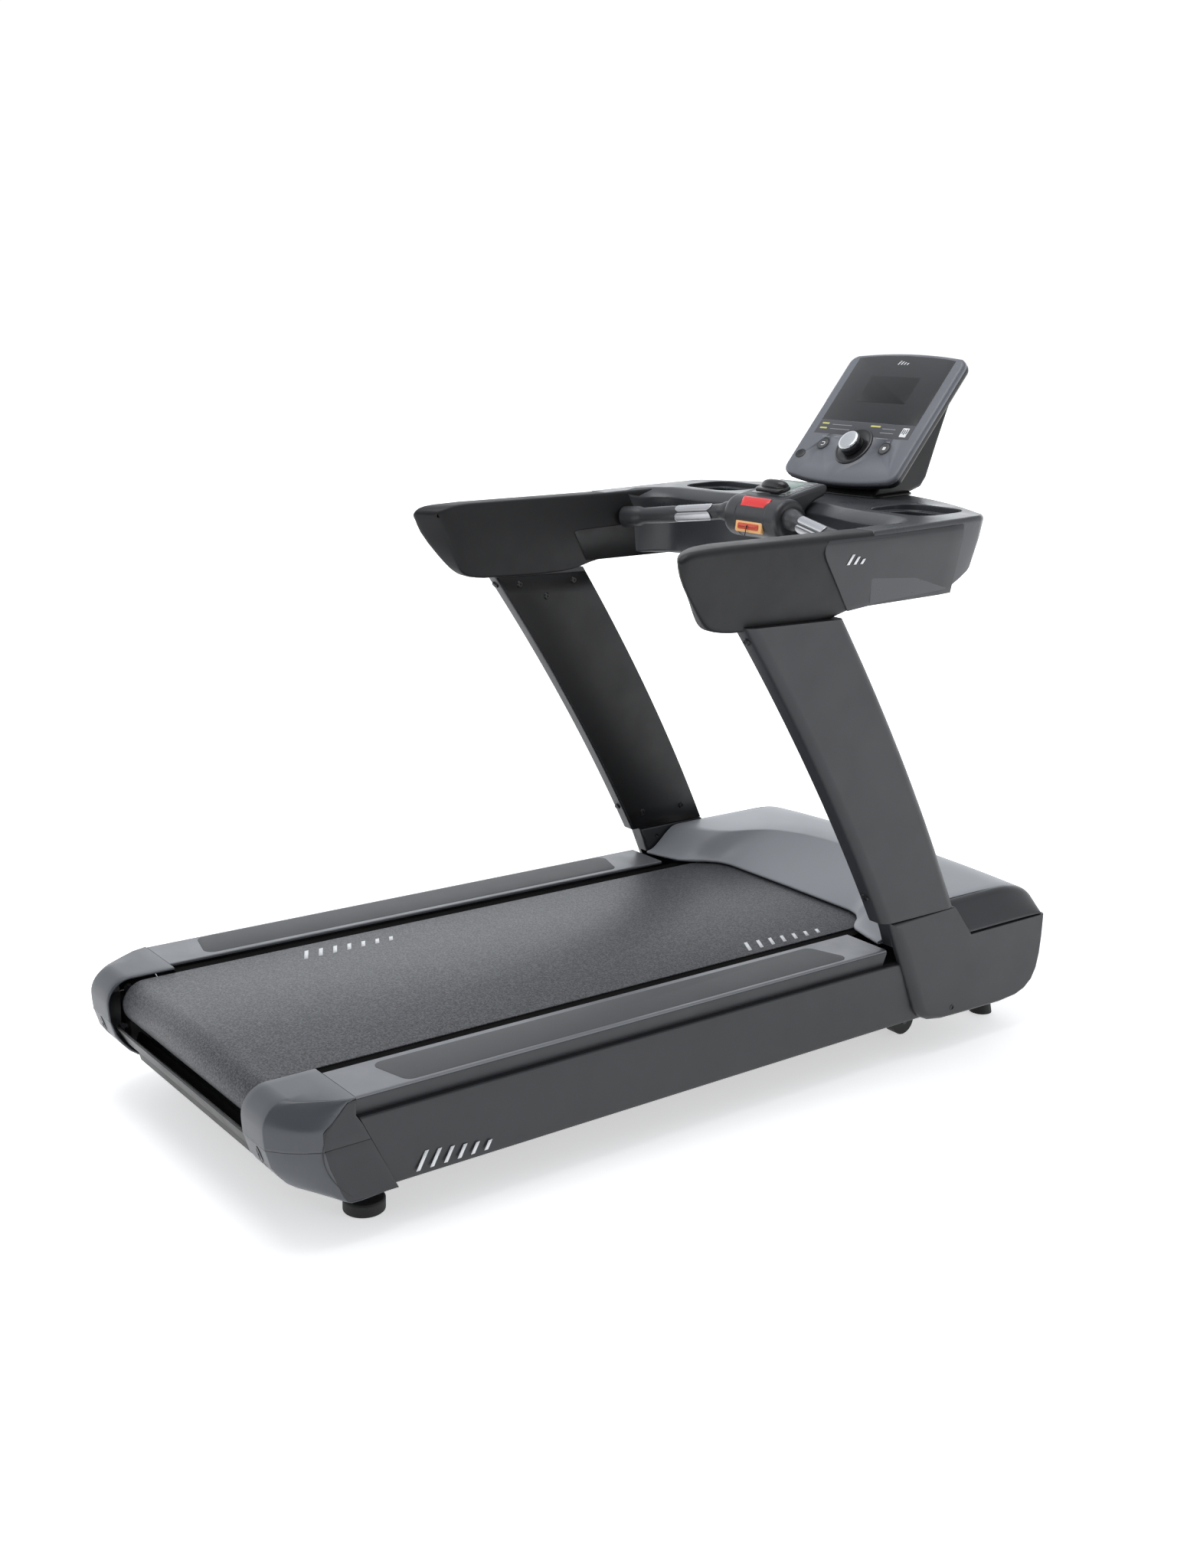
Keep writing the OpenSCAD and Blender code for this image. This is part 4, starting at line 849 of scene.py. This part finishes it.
def ring(w_out, w_user, zfun):
    return [(x, d, zfun(d, u)) for (x, d), u in zip(inset(plan, [w_user if u else w_out for u in is_user]),
        is_user)]


def tray_low(d):
    return table([(1262, 1003), (1500, 1016), (1540, 1036), (1735, 1156)], d)


TRAY_EDGE = [(0.6, 0, 14, 22), (0.0, 2, 9, 18), (1.2, 12, 4.5, 10), (4.0, 26, 1.2, 2.4), (8.0, 33, 0, 0)]
tray_secs = [
    ring(24, 8, lambda d, u: tray_low(d)),
    ring(20, 1.5, lambda d, u: tray_low(d) + 6),
    ring(6, 0, lambda d, u: lerp(tray_low(d), tray_top(d), 0.55)),
]
for w_out, w_user, drop_out, drop_user in TRAY_EDGE:
    tray_secs.append(ring(w_out, w_user, lambda d, u: tray_top(d) - (drop_user if u else drop_out)))
tray = piece("tray", *loft(tray_secs), "tray", rep=("tray",), slot="tray_shell")


def rounded(cx, cy, w, l, r, n=6):
    return (arc(cx + w / 2 - r, cy + l / 2 - r, r, 0, 90, n) + arc(cx - w / 2 + r, cy + l / 2 - r, r, 90,
        180, n)
            + arc(cx - w / 2 + r, cy - l / 2 + r, r, 180, 270, n) + arc(cx + w / 2 - r, cy - l / 2 + r, r,
                270, 360, n))


def cutter(name, outline, z0, z1, carry=None):
    """A mesh to cut with: an outline standing from z0 to z1, carried to its place by a helper."""
    v, f = loft([[(*p, z0) for p in outline], [(*p, z1) for p in outline]])
    if carry:
        v, f = carry((v, f))
    return mesh_object(name, v, f, weld=False)


def cut(target, *cutters):
    """Boolean difference applied to the mesh, and the cutters removed."""
    for c in cutters:
        m = target.modifiers.new("cut", "BOOLEAN")
        m.operation, m.solver, m.object = "DIFFERENCE", "EXACT", c
    dg = bpy.context.evaluated_depsgraph_get()
    me = bpy.data.meshes.new_from_object(target.evaluated_get(dg))
    target.modifiers.clear()
    target.data = me
    for c in cutters:
        bpy.data.objects.remove(c)


holders = []
for k, (w, l, r, floor_z) in enumerate(((138, 112, 30, 1090), (176, 136, 44, 1156))):
    holders += [cutter(f"cup_{k}_{x}", rounded(x, 1545, w, l, r), floor_z, 1200) for x in (300, -300)]
cut(tray, *holders)
rim = tray.modifiers.new("bevel", "BEVEL")
rim.width, rim.segments = 0.0022, 3
rim.limit_method, rim.angle_limit, rim.harden_normals = "ANGLE", radians(38), True
for p in tray.data.polygons:
    p.use_smooth = True
tray.modifiers.new("normals", "WEIGHTED_NORMAL")

# ---------------- grip bar
HUB = (0, 1408, 1145)
END = (POST_IN + 1, 1320, 1094)


def bar_frame(sx):
    e = Vector((sx * END[0], END[1], END[2])) - Vector(HUB)
    length = e.length
    ez = e.normalized()
    ex = Vector((0, 0, 1)) - ez * ez.z
    ex.normalize()
    return ex, ez.cross(ex), ez, length


for sx, side in ((1, "right"), (-1, "left")):
    ex, ey, ez, length = bar_frame(sx)
    prof = [(0.01, 66), (19, 66), (22.5, 84), (23.0, 100), (22.2, 112), (19.2, 122), (18.0, 130),
            (18.0, 250), (18.6, 254), (19.2, 262), (19.0, 300), (18.6, 345), (19.4, 352), (22.5, 360),
            (23.5, 372), (24.5, length - 10), (24.5, length - 8)]
    piece(f"grip_bar_{side}", *placed(lathe(prof, 40), HUB, ex, ey, ez), "bar", rep=("grip_bar",)
          if sx == 1 else (), slot="bar_rubber")
    for k, a0 in enumerate((2, 82)):
        rows = []
        for i in range(9):
            a = radians(sx * (a0 + 70 * i / 8))
            edge = 0.0 if 0 < i < 8 else 0.9
            trim = 9 * (1 - sin(pi * i / 8)) ** 2
            r = 19.5 - edge
            rows.append([(r * cos(a), r * sin(a), h)
                         for h in (146 + trim, 147.5 + trim, 244.5 - trim, 246 - trim)])
        piece(f"pulse_plate_{side}_{k}", *placed(grid(rows), HUB, ex, ey, ez), "plate", slot="steel",
              solid=1.2,
              rep=("pulse_plates",) if sx == 1 and k == 0 else ())

# ---------------- pod on the bar
hub_profile = [(0.01, -88), (30, -88), (38, -86.4), (43, -83), (45.4, -78), (46, -72), (46, -46.5),
               (45.2, -46), (45.2, 46), (46, 46.5), (46, 72), (45.4, 78), (43, 83), (38, 86.4), (30, 88),
               (0.01, 88)]
hub = placed(lathe(hub_profile, 64), (0, 1396, 1128), (0, 1, 0), (0, 0, 1), (1, 0, 0))
SL = atan2(29, 123)
F0 = Vector((0, 1390, 1174))
FY, FZ = Vector((0, cos(SL), sin(SL))), Vector((0, -sin(SL), cos(SL)))


def on_face(y, z=0.0):
    p = F0 + FY * y + FZ * z
    return (p.y, p.z)


pod_line = [on_face(-14, -4), on_face(-7, -0.6), on_face(4, 0.4), on_face(60, 0.4), on_face(112, 0.2),
            on_face(120, -0.8), on_face(124.5, -5), on_face(125, -12),
            (1512, 1182), (1504, 1175), (1482, 1167), (1462, 1156), (1449, 1143), (1441, 1124), (1430, 1104),
            (1400, 1100), (1378, 1130)]
pod = across(pod_line, -70.5, 70.5, 8, 8)
piece("pod", *join(hub, pod), "bar", rep=("pod",), slot="charcoal_shell", bevel=0.6, seg=2, angle=40)


def to_face(vf):
    return placed(vf, F0, (1, 0, 0), FY, FZ)


def face_piece(name, outline, z0, z1, mat, body="base", rep=(), slot=None, rnd=0.6):
    piece(name, *to_face(upright(outline, z0, z1, rnd)), mat, body=body, rep=rep, slot=slot)


face_piece("pod_face", rounded(0, 64, 112, 104, 8), -2, 1.1, "label", rep=("pod_face",), slot="label_face")
face_piece("pod_lcd", rounded(-10, 82, 74, 44, 3), 0.8, 1.5, "lcd")
for k in range(4):
    face_piece(f"pod_tile_{k}", rounded(44, 24 + 26 * k, 17, 20, 2), 0.8, 1.6, "tile", rnd=0.3)
    face_piece(f"pod_tile_edge_{k}", rounded(44, 24 + 26 * k, 19.5, 22.5, 3), 0.8, 1.35, "tile_line",
               rnd=0.1)
    face_piece(f"pod_tile_line_{k}", rounded(44, 24 + 26 * k, 9, 1.6, 0.6), 1.3, 1.8, "print", rnd=0.1)
# rocker: a broad lip with a domed ridge on a round stem
RY = 32
rock = []
for i in range(17):
    u = -1 + 2 * i / 16
    w = max(0.03, 1 - abs(u) ** 3) ** 0.5
    rock.append([(40 * u, RY + 5 + 15 * w * cos(radians(a)), 11 + 16 * w * max(-0.15, sin(radians(a))))
                 for a in range(0, 360, 20)])
lip = upright(rounded(0, RY - 2, 86, 40, 15), 5.5, 12.5, 3)
stem = lathe([(0.01, -4), (10, -4), (10, 6), (12, 9)], 32)
piece("pod_rocker", *to_face(join(loft(rock), lip, moved(stem, 0, RY))), "gloss_soft", body="pod_rocker",
      rep=("pod_rocker",), slot="black_plastic")


def tilted(node_origin, deg):
    a = radians(deg)
    return node_origin, (1, 0, 0), (0, cos(a), sin(a)), (0, -sin(a), cos(a))


def crowned(w, h, z0, z1, crown, r=4, bend=0.0):
    """A soft-edged pad; its face bends about the bar's axis."""
    secs = [[(*p, z0) for p in rounded(0, 0, w, h, r)]]
    for k, (ins, zz) in enumerate(((0, z1 - 1.6), (0.4, z1 - 0.8), (1.4, z1 - 0.2), (4, z1 + crown * 0.5),
                                   (8, z1 + crown * 0.8), (h / 2 - 1.5, z1 + crown))):
        secs.append([(x, y, zz - bend * y * y) for x,
                     y in rounded(0, 0, w - 2 * ins, h - 2 * ins, max(0.4, r - ins))])
    return loft(secs)


stop = placed(crowned(88, 33, -5, 4.4, 0.8, 4, 0.011), *tilted((0, 1367.0, 1158), 54))
piece("stop_button", *stop, "red", body="stop_button", rep=("stop_button",), slot="red_plastic")
key_frame = tilted((0, 1352.5, 1110), 84)
piece("safety_key", *placed(crowned(84, 25, -6, 2.4, 0.4, 4), *key_frame), "orange", body="safety_key",
      rep=("safety_key",), slot="key_plastic")
piece("safety_key_insert", *placed(crowned(66, 13, 1.5, 4.4, 0.4, 3), *key_frame), "key_red",
      body="safety_key")
cord_pts = [(0, 3, 4.2), (0, 3, 6.6), (-0.4, -2, 7.2), (-0.8, -8, 7.4), (-1.6, -14, 7.0), (-3, -20, 6.6)]
rows = [[(p[0] + 1.0 * cos(a), p[1] + 0.2 * sin(a), p[2] + 1.0 * sin(a))
         for a in [radians(45 * j) for j in range(8)]] for p in cord_pts]
piece("safety_key_loop", *placed(loft(rows), *key_frame), "black", body="safety_key")
# ---------------- console
TILT = radians(50.8)
C0 = (0, 1696, 1326)
CU, CN = (0, cos(TILT), sin(TILT)), (0, -sin(TILT), cos(TILT))


def con(vf):
    return placed(vf, C0, (1, 0, 0), CU, CN)


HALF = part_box("console_front")[1].x * 1000
con_line = [(x * (HALF - 20) / 6, -166 + 15 * (x / 6) ** 2) for x in range(-6, 7)]
con_line += arc(HALF - 24, -126, 24, -60, 0, 5) + arc(HALF - 24, 163, 24, 0, 70, 5)
con_line += [(x * (HALF - 18) / 6, 197 - 10 * (x / 6) ** 2) for x in range(6, -7, -1)]
con_line += arc(-HALF + 24, 163, 24, 110, 180, 5) + arc(-HALF + 24, -126, 24, 180, 240, 5)


def console_shell(z0, z1, r1, w=0.0):
    secs = [[(*p, z0) for p in inset(con_line, w)]]
    for k in range(6):
        a = radians(18 * k)
        secs.append([(*p, z1 - r1 + r1 * sin(a)) for p in inset(con_line, w + r1 * 1.2 * (1 - cos(a)))])
    return loft(secs)


face = piece("console_front", *con(console_shell(-12, 0, 7)), "face", rep=("console_front",),
             slot="console_face")
KEYS_X, KEYS_Y = 95, -66  # the two keys, level with the dial
wells = [cutter(f"well_{x}", [(x + a, KEYS_Y + b) for a, b in circle(14.3, 40)], -11.8, 3, con)
         for x in (-KEYS_X, KEYS_X)]
cut(face, *wells)
back_secs = [[(*p, z) for p in inset(con_line, w)] for z,
             w in ((-12.6, 0.8), (-20, 0.8), (-25, 3), (-28.5, 8), (-30, 14))]
piece("console_back", *con(loft(back_secs)), "black", rep=("console_back",), slot="black_plastic", bevel=0.6,
      seg=2, angle=40)


def on_console(name, outline, z0, z1, mat, rnd=0.2, body="base", **kw):
    piece(name, *con(upright(outline, z0, z1, rnd)), mat, body=body, **kw)


screen = [(-146, 0), (146, 0), (146, 178), (120, 182), (70, 186), (0, 188), (-70, 186), (-120, 182),
          (-146, 178)]
on_console("glass", screen, -1.5, 0.35, "glass", 0.3, rep=("glass",), slot="display_glass")
on_console("legend_band", [(-146, -38), (146, -38), (146, -0.8), (-146, -0.8)], -1, 0.25, "legend")
for k, (cx, cy, w, h) in enumerate(((-125, -10, 22, 4.2), (-125, -23, 22, 4.2), (31, -9, 30, 4.2))):
    on_console(f"legend_mark_{k}", rounded(cx, cy, w, h, 1), 0.1, 0.5, "yellow", 0.1)
for k, (cx, cy, w) in enumerate(((-72, -12, 62), (-72, -24, 62), (-100, -46, 24), (-66, -46, 14),
                                 (70, -40, 34), (96, -48, 10), (74, -14, 40), (74, -25, 40))):
    on_console(f"legend_line_{k}", rounded(cx, cy, w, 1.3, 0.5), 0.05, 0.42, "tile_line", 0.1)
on_console("legend_label", rounded(124, -20, 19, 24, 1.5), 0.1, 0.5, "print", 0.1)
for k in range(3):
    on_console(f"legend_label_bar_{k}", rounded(118.5 + 5.5 * k, -17 - 2 * (k % 2), 3, 12, 0.5), 0.4, 0.62,
               "tile", 0.05)
mark = chevrons((0, 0, 0), (1, 0, 0), (0, 1, 0), (0, 0, 1), 4, 11, 9, 3.2)
piece("console_mark", *con(moved(mark, -18, 163, 0.28)), "print")
on_console("display_window", rounded(0, 92, 150, 74, 3), 0.2, 0.48, "window", 0.1)

dish = lathe([(20, 0.4), (28, 0.2), (33, 0.8), (39, 2.6), (44, 3.6), (47.5, 3.0), (49, 0.6), (49.4, -1.0)],
             64)
piece("dial_dish", *con(moved(dish, 2, KEYS_Y)), "dish")
knob = lathe([(0.01, 1.5), (26.4, 1.5), (27, 2.2), (27, 15.5), (26.4, 17), (25, 17.8)], 64)
piece("dial_body", *con(moved(knob, 0, KEYS_Y)), "dish", body="dial", rep=("dial",), slot="steel")
cap_top = lathe([(25.2, 17.4), (25.4, 21.0), (24.8, 22.6), (23.4, 23.6), (19, 24.0), (0.01, 24.2)], 64)
piece("dial_top", *con(moved(cap_top, 0, KEYS_Y)), "knob", body="dial", slot="steel")
for name, x in (("return_key", -KEYS_X), ("stop_key", KEYS_X)):
    key = lathe([(0.01, -8), (13.9, -8), (13.9, 0.4), (13.2, 1.2), (11.5, 1.5), (10.8, 1.2), (0.01, 1.0)],
                40)
    piece(name, *con(moved(key, x, KEYS_Y)), "keyface", body=name, rep=(name,), slot="black_plastic")
    rim = lathe([(14.2, -0.5), (14.3, 0.5), (15.4, 0.9), (16.4, 0.4), (16.6, -0.5)], 40, ring=True)
    piece(f"{name}_rim", *con(moved(rim, x, KEYS_Y)), "dish")
on_console("stop_key_icon", rounded(KEYS_X, KEYS_Y, 8, 8, 0.8), 0.9, 1.6, "print", 0.1, body="stop_key")
arrow = [(-4, 3.6), (2, 3.6), (4.4, 1.6), (4.4, -2), (2, -4), (-3, -4), (-3, -2.6), (1.6, -2.6), (3, -1.4),
         (3, 1)]
arrow = [(1.35 * x - KEYS_X, 1.35 * y + KEYS_Y) for x, y in arrow + [(1.6, 2.2), (-4, 2.2)]]
on_console("return_key_icon", arrow, 0.9, 1.6, "print", 0.1, body="return_key")
port = lathe([(0.01, 0.1), (9, 0.1), (11, 0.9), (12, 0.6), (12.2, -0.5)], 36)
piece("console_port", *con(([(1.25 * x - 147, y - 98, z) for x, y, z in port[0]], port[1])), "dish")

mast_line = [(1612, tray_top(1612) + 0.6), (1640, 1203), (1676, 1246), (1704, 1280), (1760, 1345),
             (1822, 1412), (1836, 1408), (1848, 1378), (1812, 1286), (1784, 1210), (1768, 1190),
             (1728, tray_top(1728) + 0.8)]


def behind(p):
    """Keeps a mast point behind the console's back."""
    d, z = p
    n = (d - C0[1]) * CN[1] + (z - C0[2]) * CN[2]
    return (d, z) if n < -30.6 else (d - (n + 30.6) * CN[1], z - (n + 30.6) * CN[2])


mast_line = [behind(p) for p in mast_line]
piece("mast", *across(mast_line, -108, 108, 10, 10), "charcoal", rep=("mast",), slot="charcoal_shell",
      bevel=1.0, seg=2, angle=40)
collar = rounded(0, 1672, 244, 128, 26)
cv, cf = upright(collar, 0, 4.5, 2.5)
piece("mast_collar", [(x, d, tray_top(d) - 0.5 + z) for x, d, z in cv], cf, "charcoal")

# ---------------- rear feet
foot_pad = lathe([(0.01, 0), (34, 0), (37.4, 1.5), (38, 4), (38, 15), (36.8, 16.5), (36.8, 18), (37.6, 19),
                  (37.2, 22), (34, 24.6), (24, 26.5), (15, 28), (14, 30), (0.01, 30)], 56)
foot_nut = upright(arc(0, 0, 11.5, 0, 300, 6), 30.2, 38, 0.8)
thread = [(6.2 - 0.5 * (k % 2), 39 + k * 1.2) for k in range(30)]
foot_stud = lathe([(0.01, 38), (6.2, 38)] + thread + [(0.01, 76)], 28)
for side in ("left", "right"):
    lo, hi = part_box(f"rear_foot_{side}")
    cx, cd = (lo.x + hi.x) * 500, (lo.y + hi.y) * 500 - REAR
    on_foot = {"body": f"rear_foot_{side}"}
    piece(f"foot_pad_{side}", *moved(foot_pad, cx, cd), "rubber", slot="black_rubber", **on_foot)
    piece(f"foot_nut_{side}", *moved(foot_nut, cx, cd), "steel", slot="steel", **on_foot)
    piece(f"foot_stud_{side}", *moved(foot_stud, cx, cd), "steel", slot="steel", **on_foot)

# ---------------- camera, light, stage
cam_data = bpy.data.cameras.new("camera")
cam = bpy.data.objects.new("camera", cam_data)
scene.collection.objects.link(cam)
right, up, back = (0.6120187, 0.79043785, 0.02532021), (-0.21498607, 0.13547736, 0.96717469), (0.76106117,
    -0.59737249, 0.2528478)
rot = Matrix((right, up, back)).transposed().to_4x4()
cam.matrix_world = Matrix.Translation((2.75790, -2.08741, 1.50034)) @ rot
cam_data.sensor_width = 36
cam_data.lens = 39.387
cam_data.shift_x = -0.01881
cam_data.clip_end = 60
scene.camera = cam

world = bpy.data.worlds.new("studio")
scene.world = world
world.use_nodes = True
wn, wl = world.node_tree.nodes, world.node_tree.links
bg = wn["Background"]
tc = wn.new("ShaderNodeTexCoord")
sep = wn.new("ShaderNodeSeparateXYZ")
wl.new(tc.outputs["Generated"], sep.inputs["Vector"])
height = ramp(wn, wl, sep.outputs["Z"], [(0.0, (0.95, 0.975, 1, 1)), (0.34, (0.95, 0.975, 1, 1)),
                                         (0.62, (0.42, 0.44, 0.46, 1)), (1.0, (0.78, 0.80, 0.84, 1))])
toward = wn.new("ShaderNodeVectorMath")
toward.operation = "DOT_PRODUCT"
toward.inputs[1].default_value = (-0.80, 0.60, 0.0)
wl.new(tc.outputs["Generated"], toward.inputs[0])
wl.new(height, bg.inputs["Color"])
wl.new(map_range(wn, wl, toward.outputs["Value"], (-0.9, 0.9), (0.17, 1.75)), bg.inputs["Strength"])
white = wn.new("ShaderNodeBackground")
white.inputs["Color"].default_value = (1, 1, 1, 1)
white.inputs["Strength"].default_value = 1.05
path = wn.new("ShaderNodeLightPath")
pick = wn.new("ShaderNodeMixShader")
wl.new(path.outputs["Is Camera Ray"], pick.inputs["Fac"])
wl.new(bg.outputs[0], pick.inputs[1])
wl.new(white.outputs[0], pick.inputs[2])
wl.new(pick.outputs[0], wn["World Output"].inputs["Surface"])

floor_me = bpy.data.meshes.new("floor")
S = 30
floor_me.from_pydata([(-S, -S, 0), (S, -S, 0), (S, S, 0), (-S, S, 0)], [], [(0, 1, 2, 3)])
floor = bpy.data.objects.new("floor", floor_me)
scene.collection.objects.link(floor)
fmat = bpy.data.materials.new("floor")
fmat.use_nodes = True
fb = fmat.node_tree.nodes["Principled BSDF"]
fb.inputs["Base Color"].default_value = (0.98, 0.98, 0.98, 1)
fb.inputs["Roughness"].default_value = 0.9
fb.inputs["Specular IOR Level"].default_value = 0.0
fb.inputs["Emission Color"].default_value = (1, 1, 1, 1)
fn, fl = fmat.node_tree.nodes, fmat.node_tree.links
fco = fn.new("ShaderNodeTexCoord")
far = fn.new("ShaderNodeVectorMath")
far.operation = "LENGTH"
fl.new(fco.outputs["Object"], far.inputs[0])
fl.new(map_range(fn, fl, far.outputs["Value"], (1.4, 4.5), (0.52, 1.0)), fb.inputs["Emission Strength"])
floor_me.materials.append(fmat)
scene.view_settings.view_transform = "Standard"


def area(name, loc, target, size, power, size_y=None):
    data = bpy.data.lights.new(name, "AREA")
    data.energy, data.size = power, size
    if size_y:
        data.shape, data.size_y = "RECTANGLE", size_y
    o = bpy.data.objects.new(name, data)
    scene.collection.objects.link(o)
    o.location = loc
    o.rotation_mode = "QUATERNION"
    o.rotation_quaternion = (Vector(target) - Vector(loc)).to_track_quat("-Z", "Y")


area("key_top", (-0.3, -0.6, 4.2), (0, 0.2, 0.3), 2.6, 62, 2.6)
area("side_strip", (5.2, 2.6, 2.2), (0.3, 0.4, 0.6), 1.4, 26, 3.0)

# ---------------- remaining CAD nodes
# Each material with the nodes that wear it; a star stands for left and right.
KEEP = {
    "frame": "frame motor lift_frame",
    "board": "deck",
    "rubber": "deck_cushions drive_belt lift_wheels front_feet rear_foot_*",
    "steel": "drive_roller drive_axle rear_roller rear_axle tension_bolts motor_rotor lift_rod",
    "black": "controller power_inlet lift_motor rear_panel pod_rocker console_back return_key "
             "stop_key",
    "pad": "grip_pads",
    "graphite": "boot_* front_panel arm_panel_*",
    # the hidden CAD hood nodes take the same hood colour with its painted reflection
    "hood": "hood hood_scoop",
    "post": "post_*",
    "charcoal": "post_cover_* pod mast",
    "bolt": "post_bolts",
    "grip": "arm_*",
    "tray": "tray",
    "bar": "grip_bar",
    "plate": "pulse_plates",
    "label": "pod_face",
    "red": "stop_button",
    "orange": "safety_key",
    "face": "console_front",
    "glass": "glass",
    "knob": "dial",
}
for mat, wearers in KEEP.items():
    for name in wearers.split():
        for side in ("left", "right") if "*" in name else ("",):
            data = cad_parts[name.replace("*", side)].data
            data.materials.clear()
            data.materials.append(M[mat])
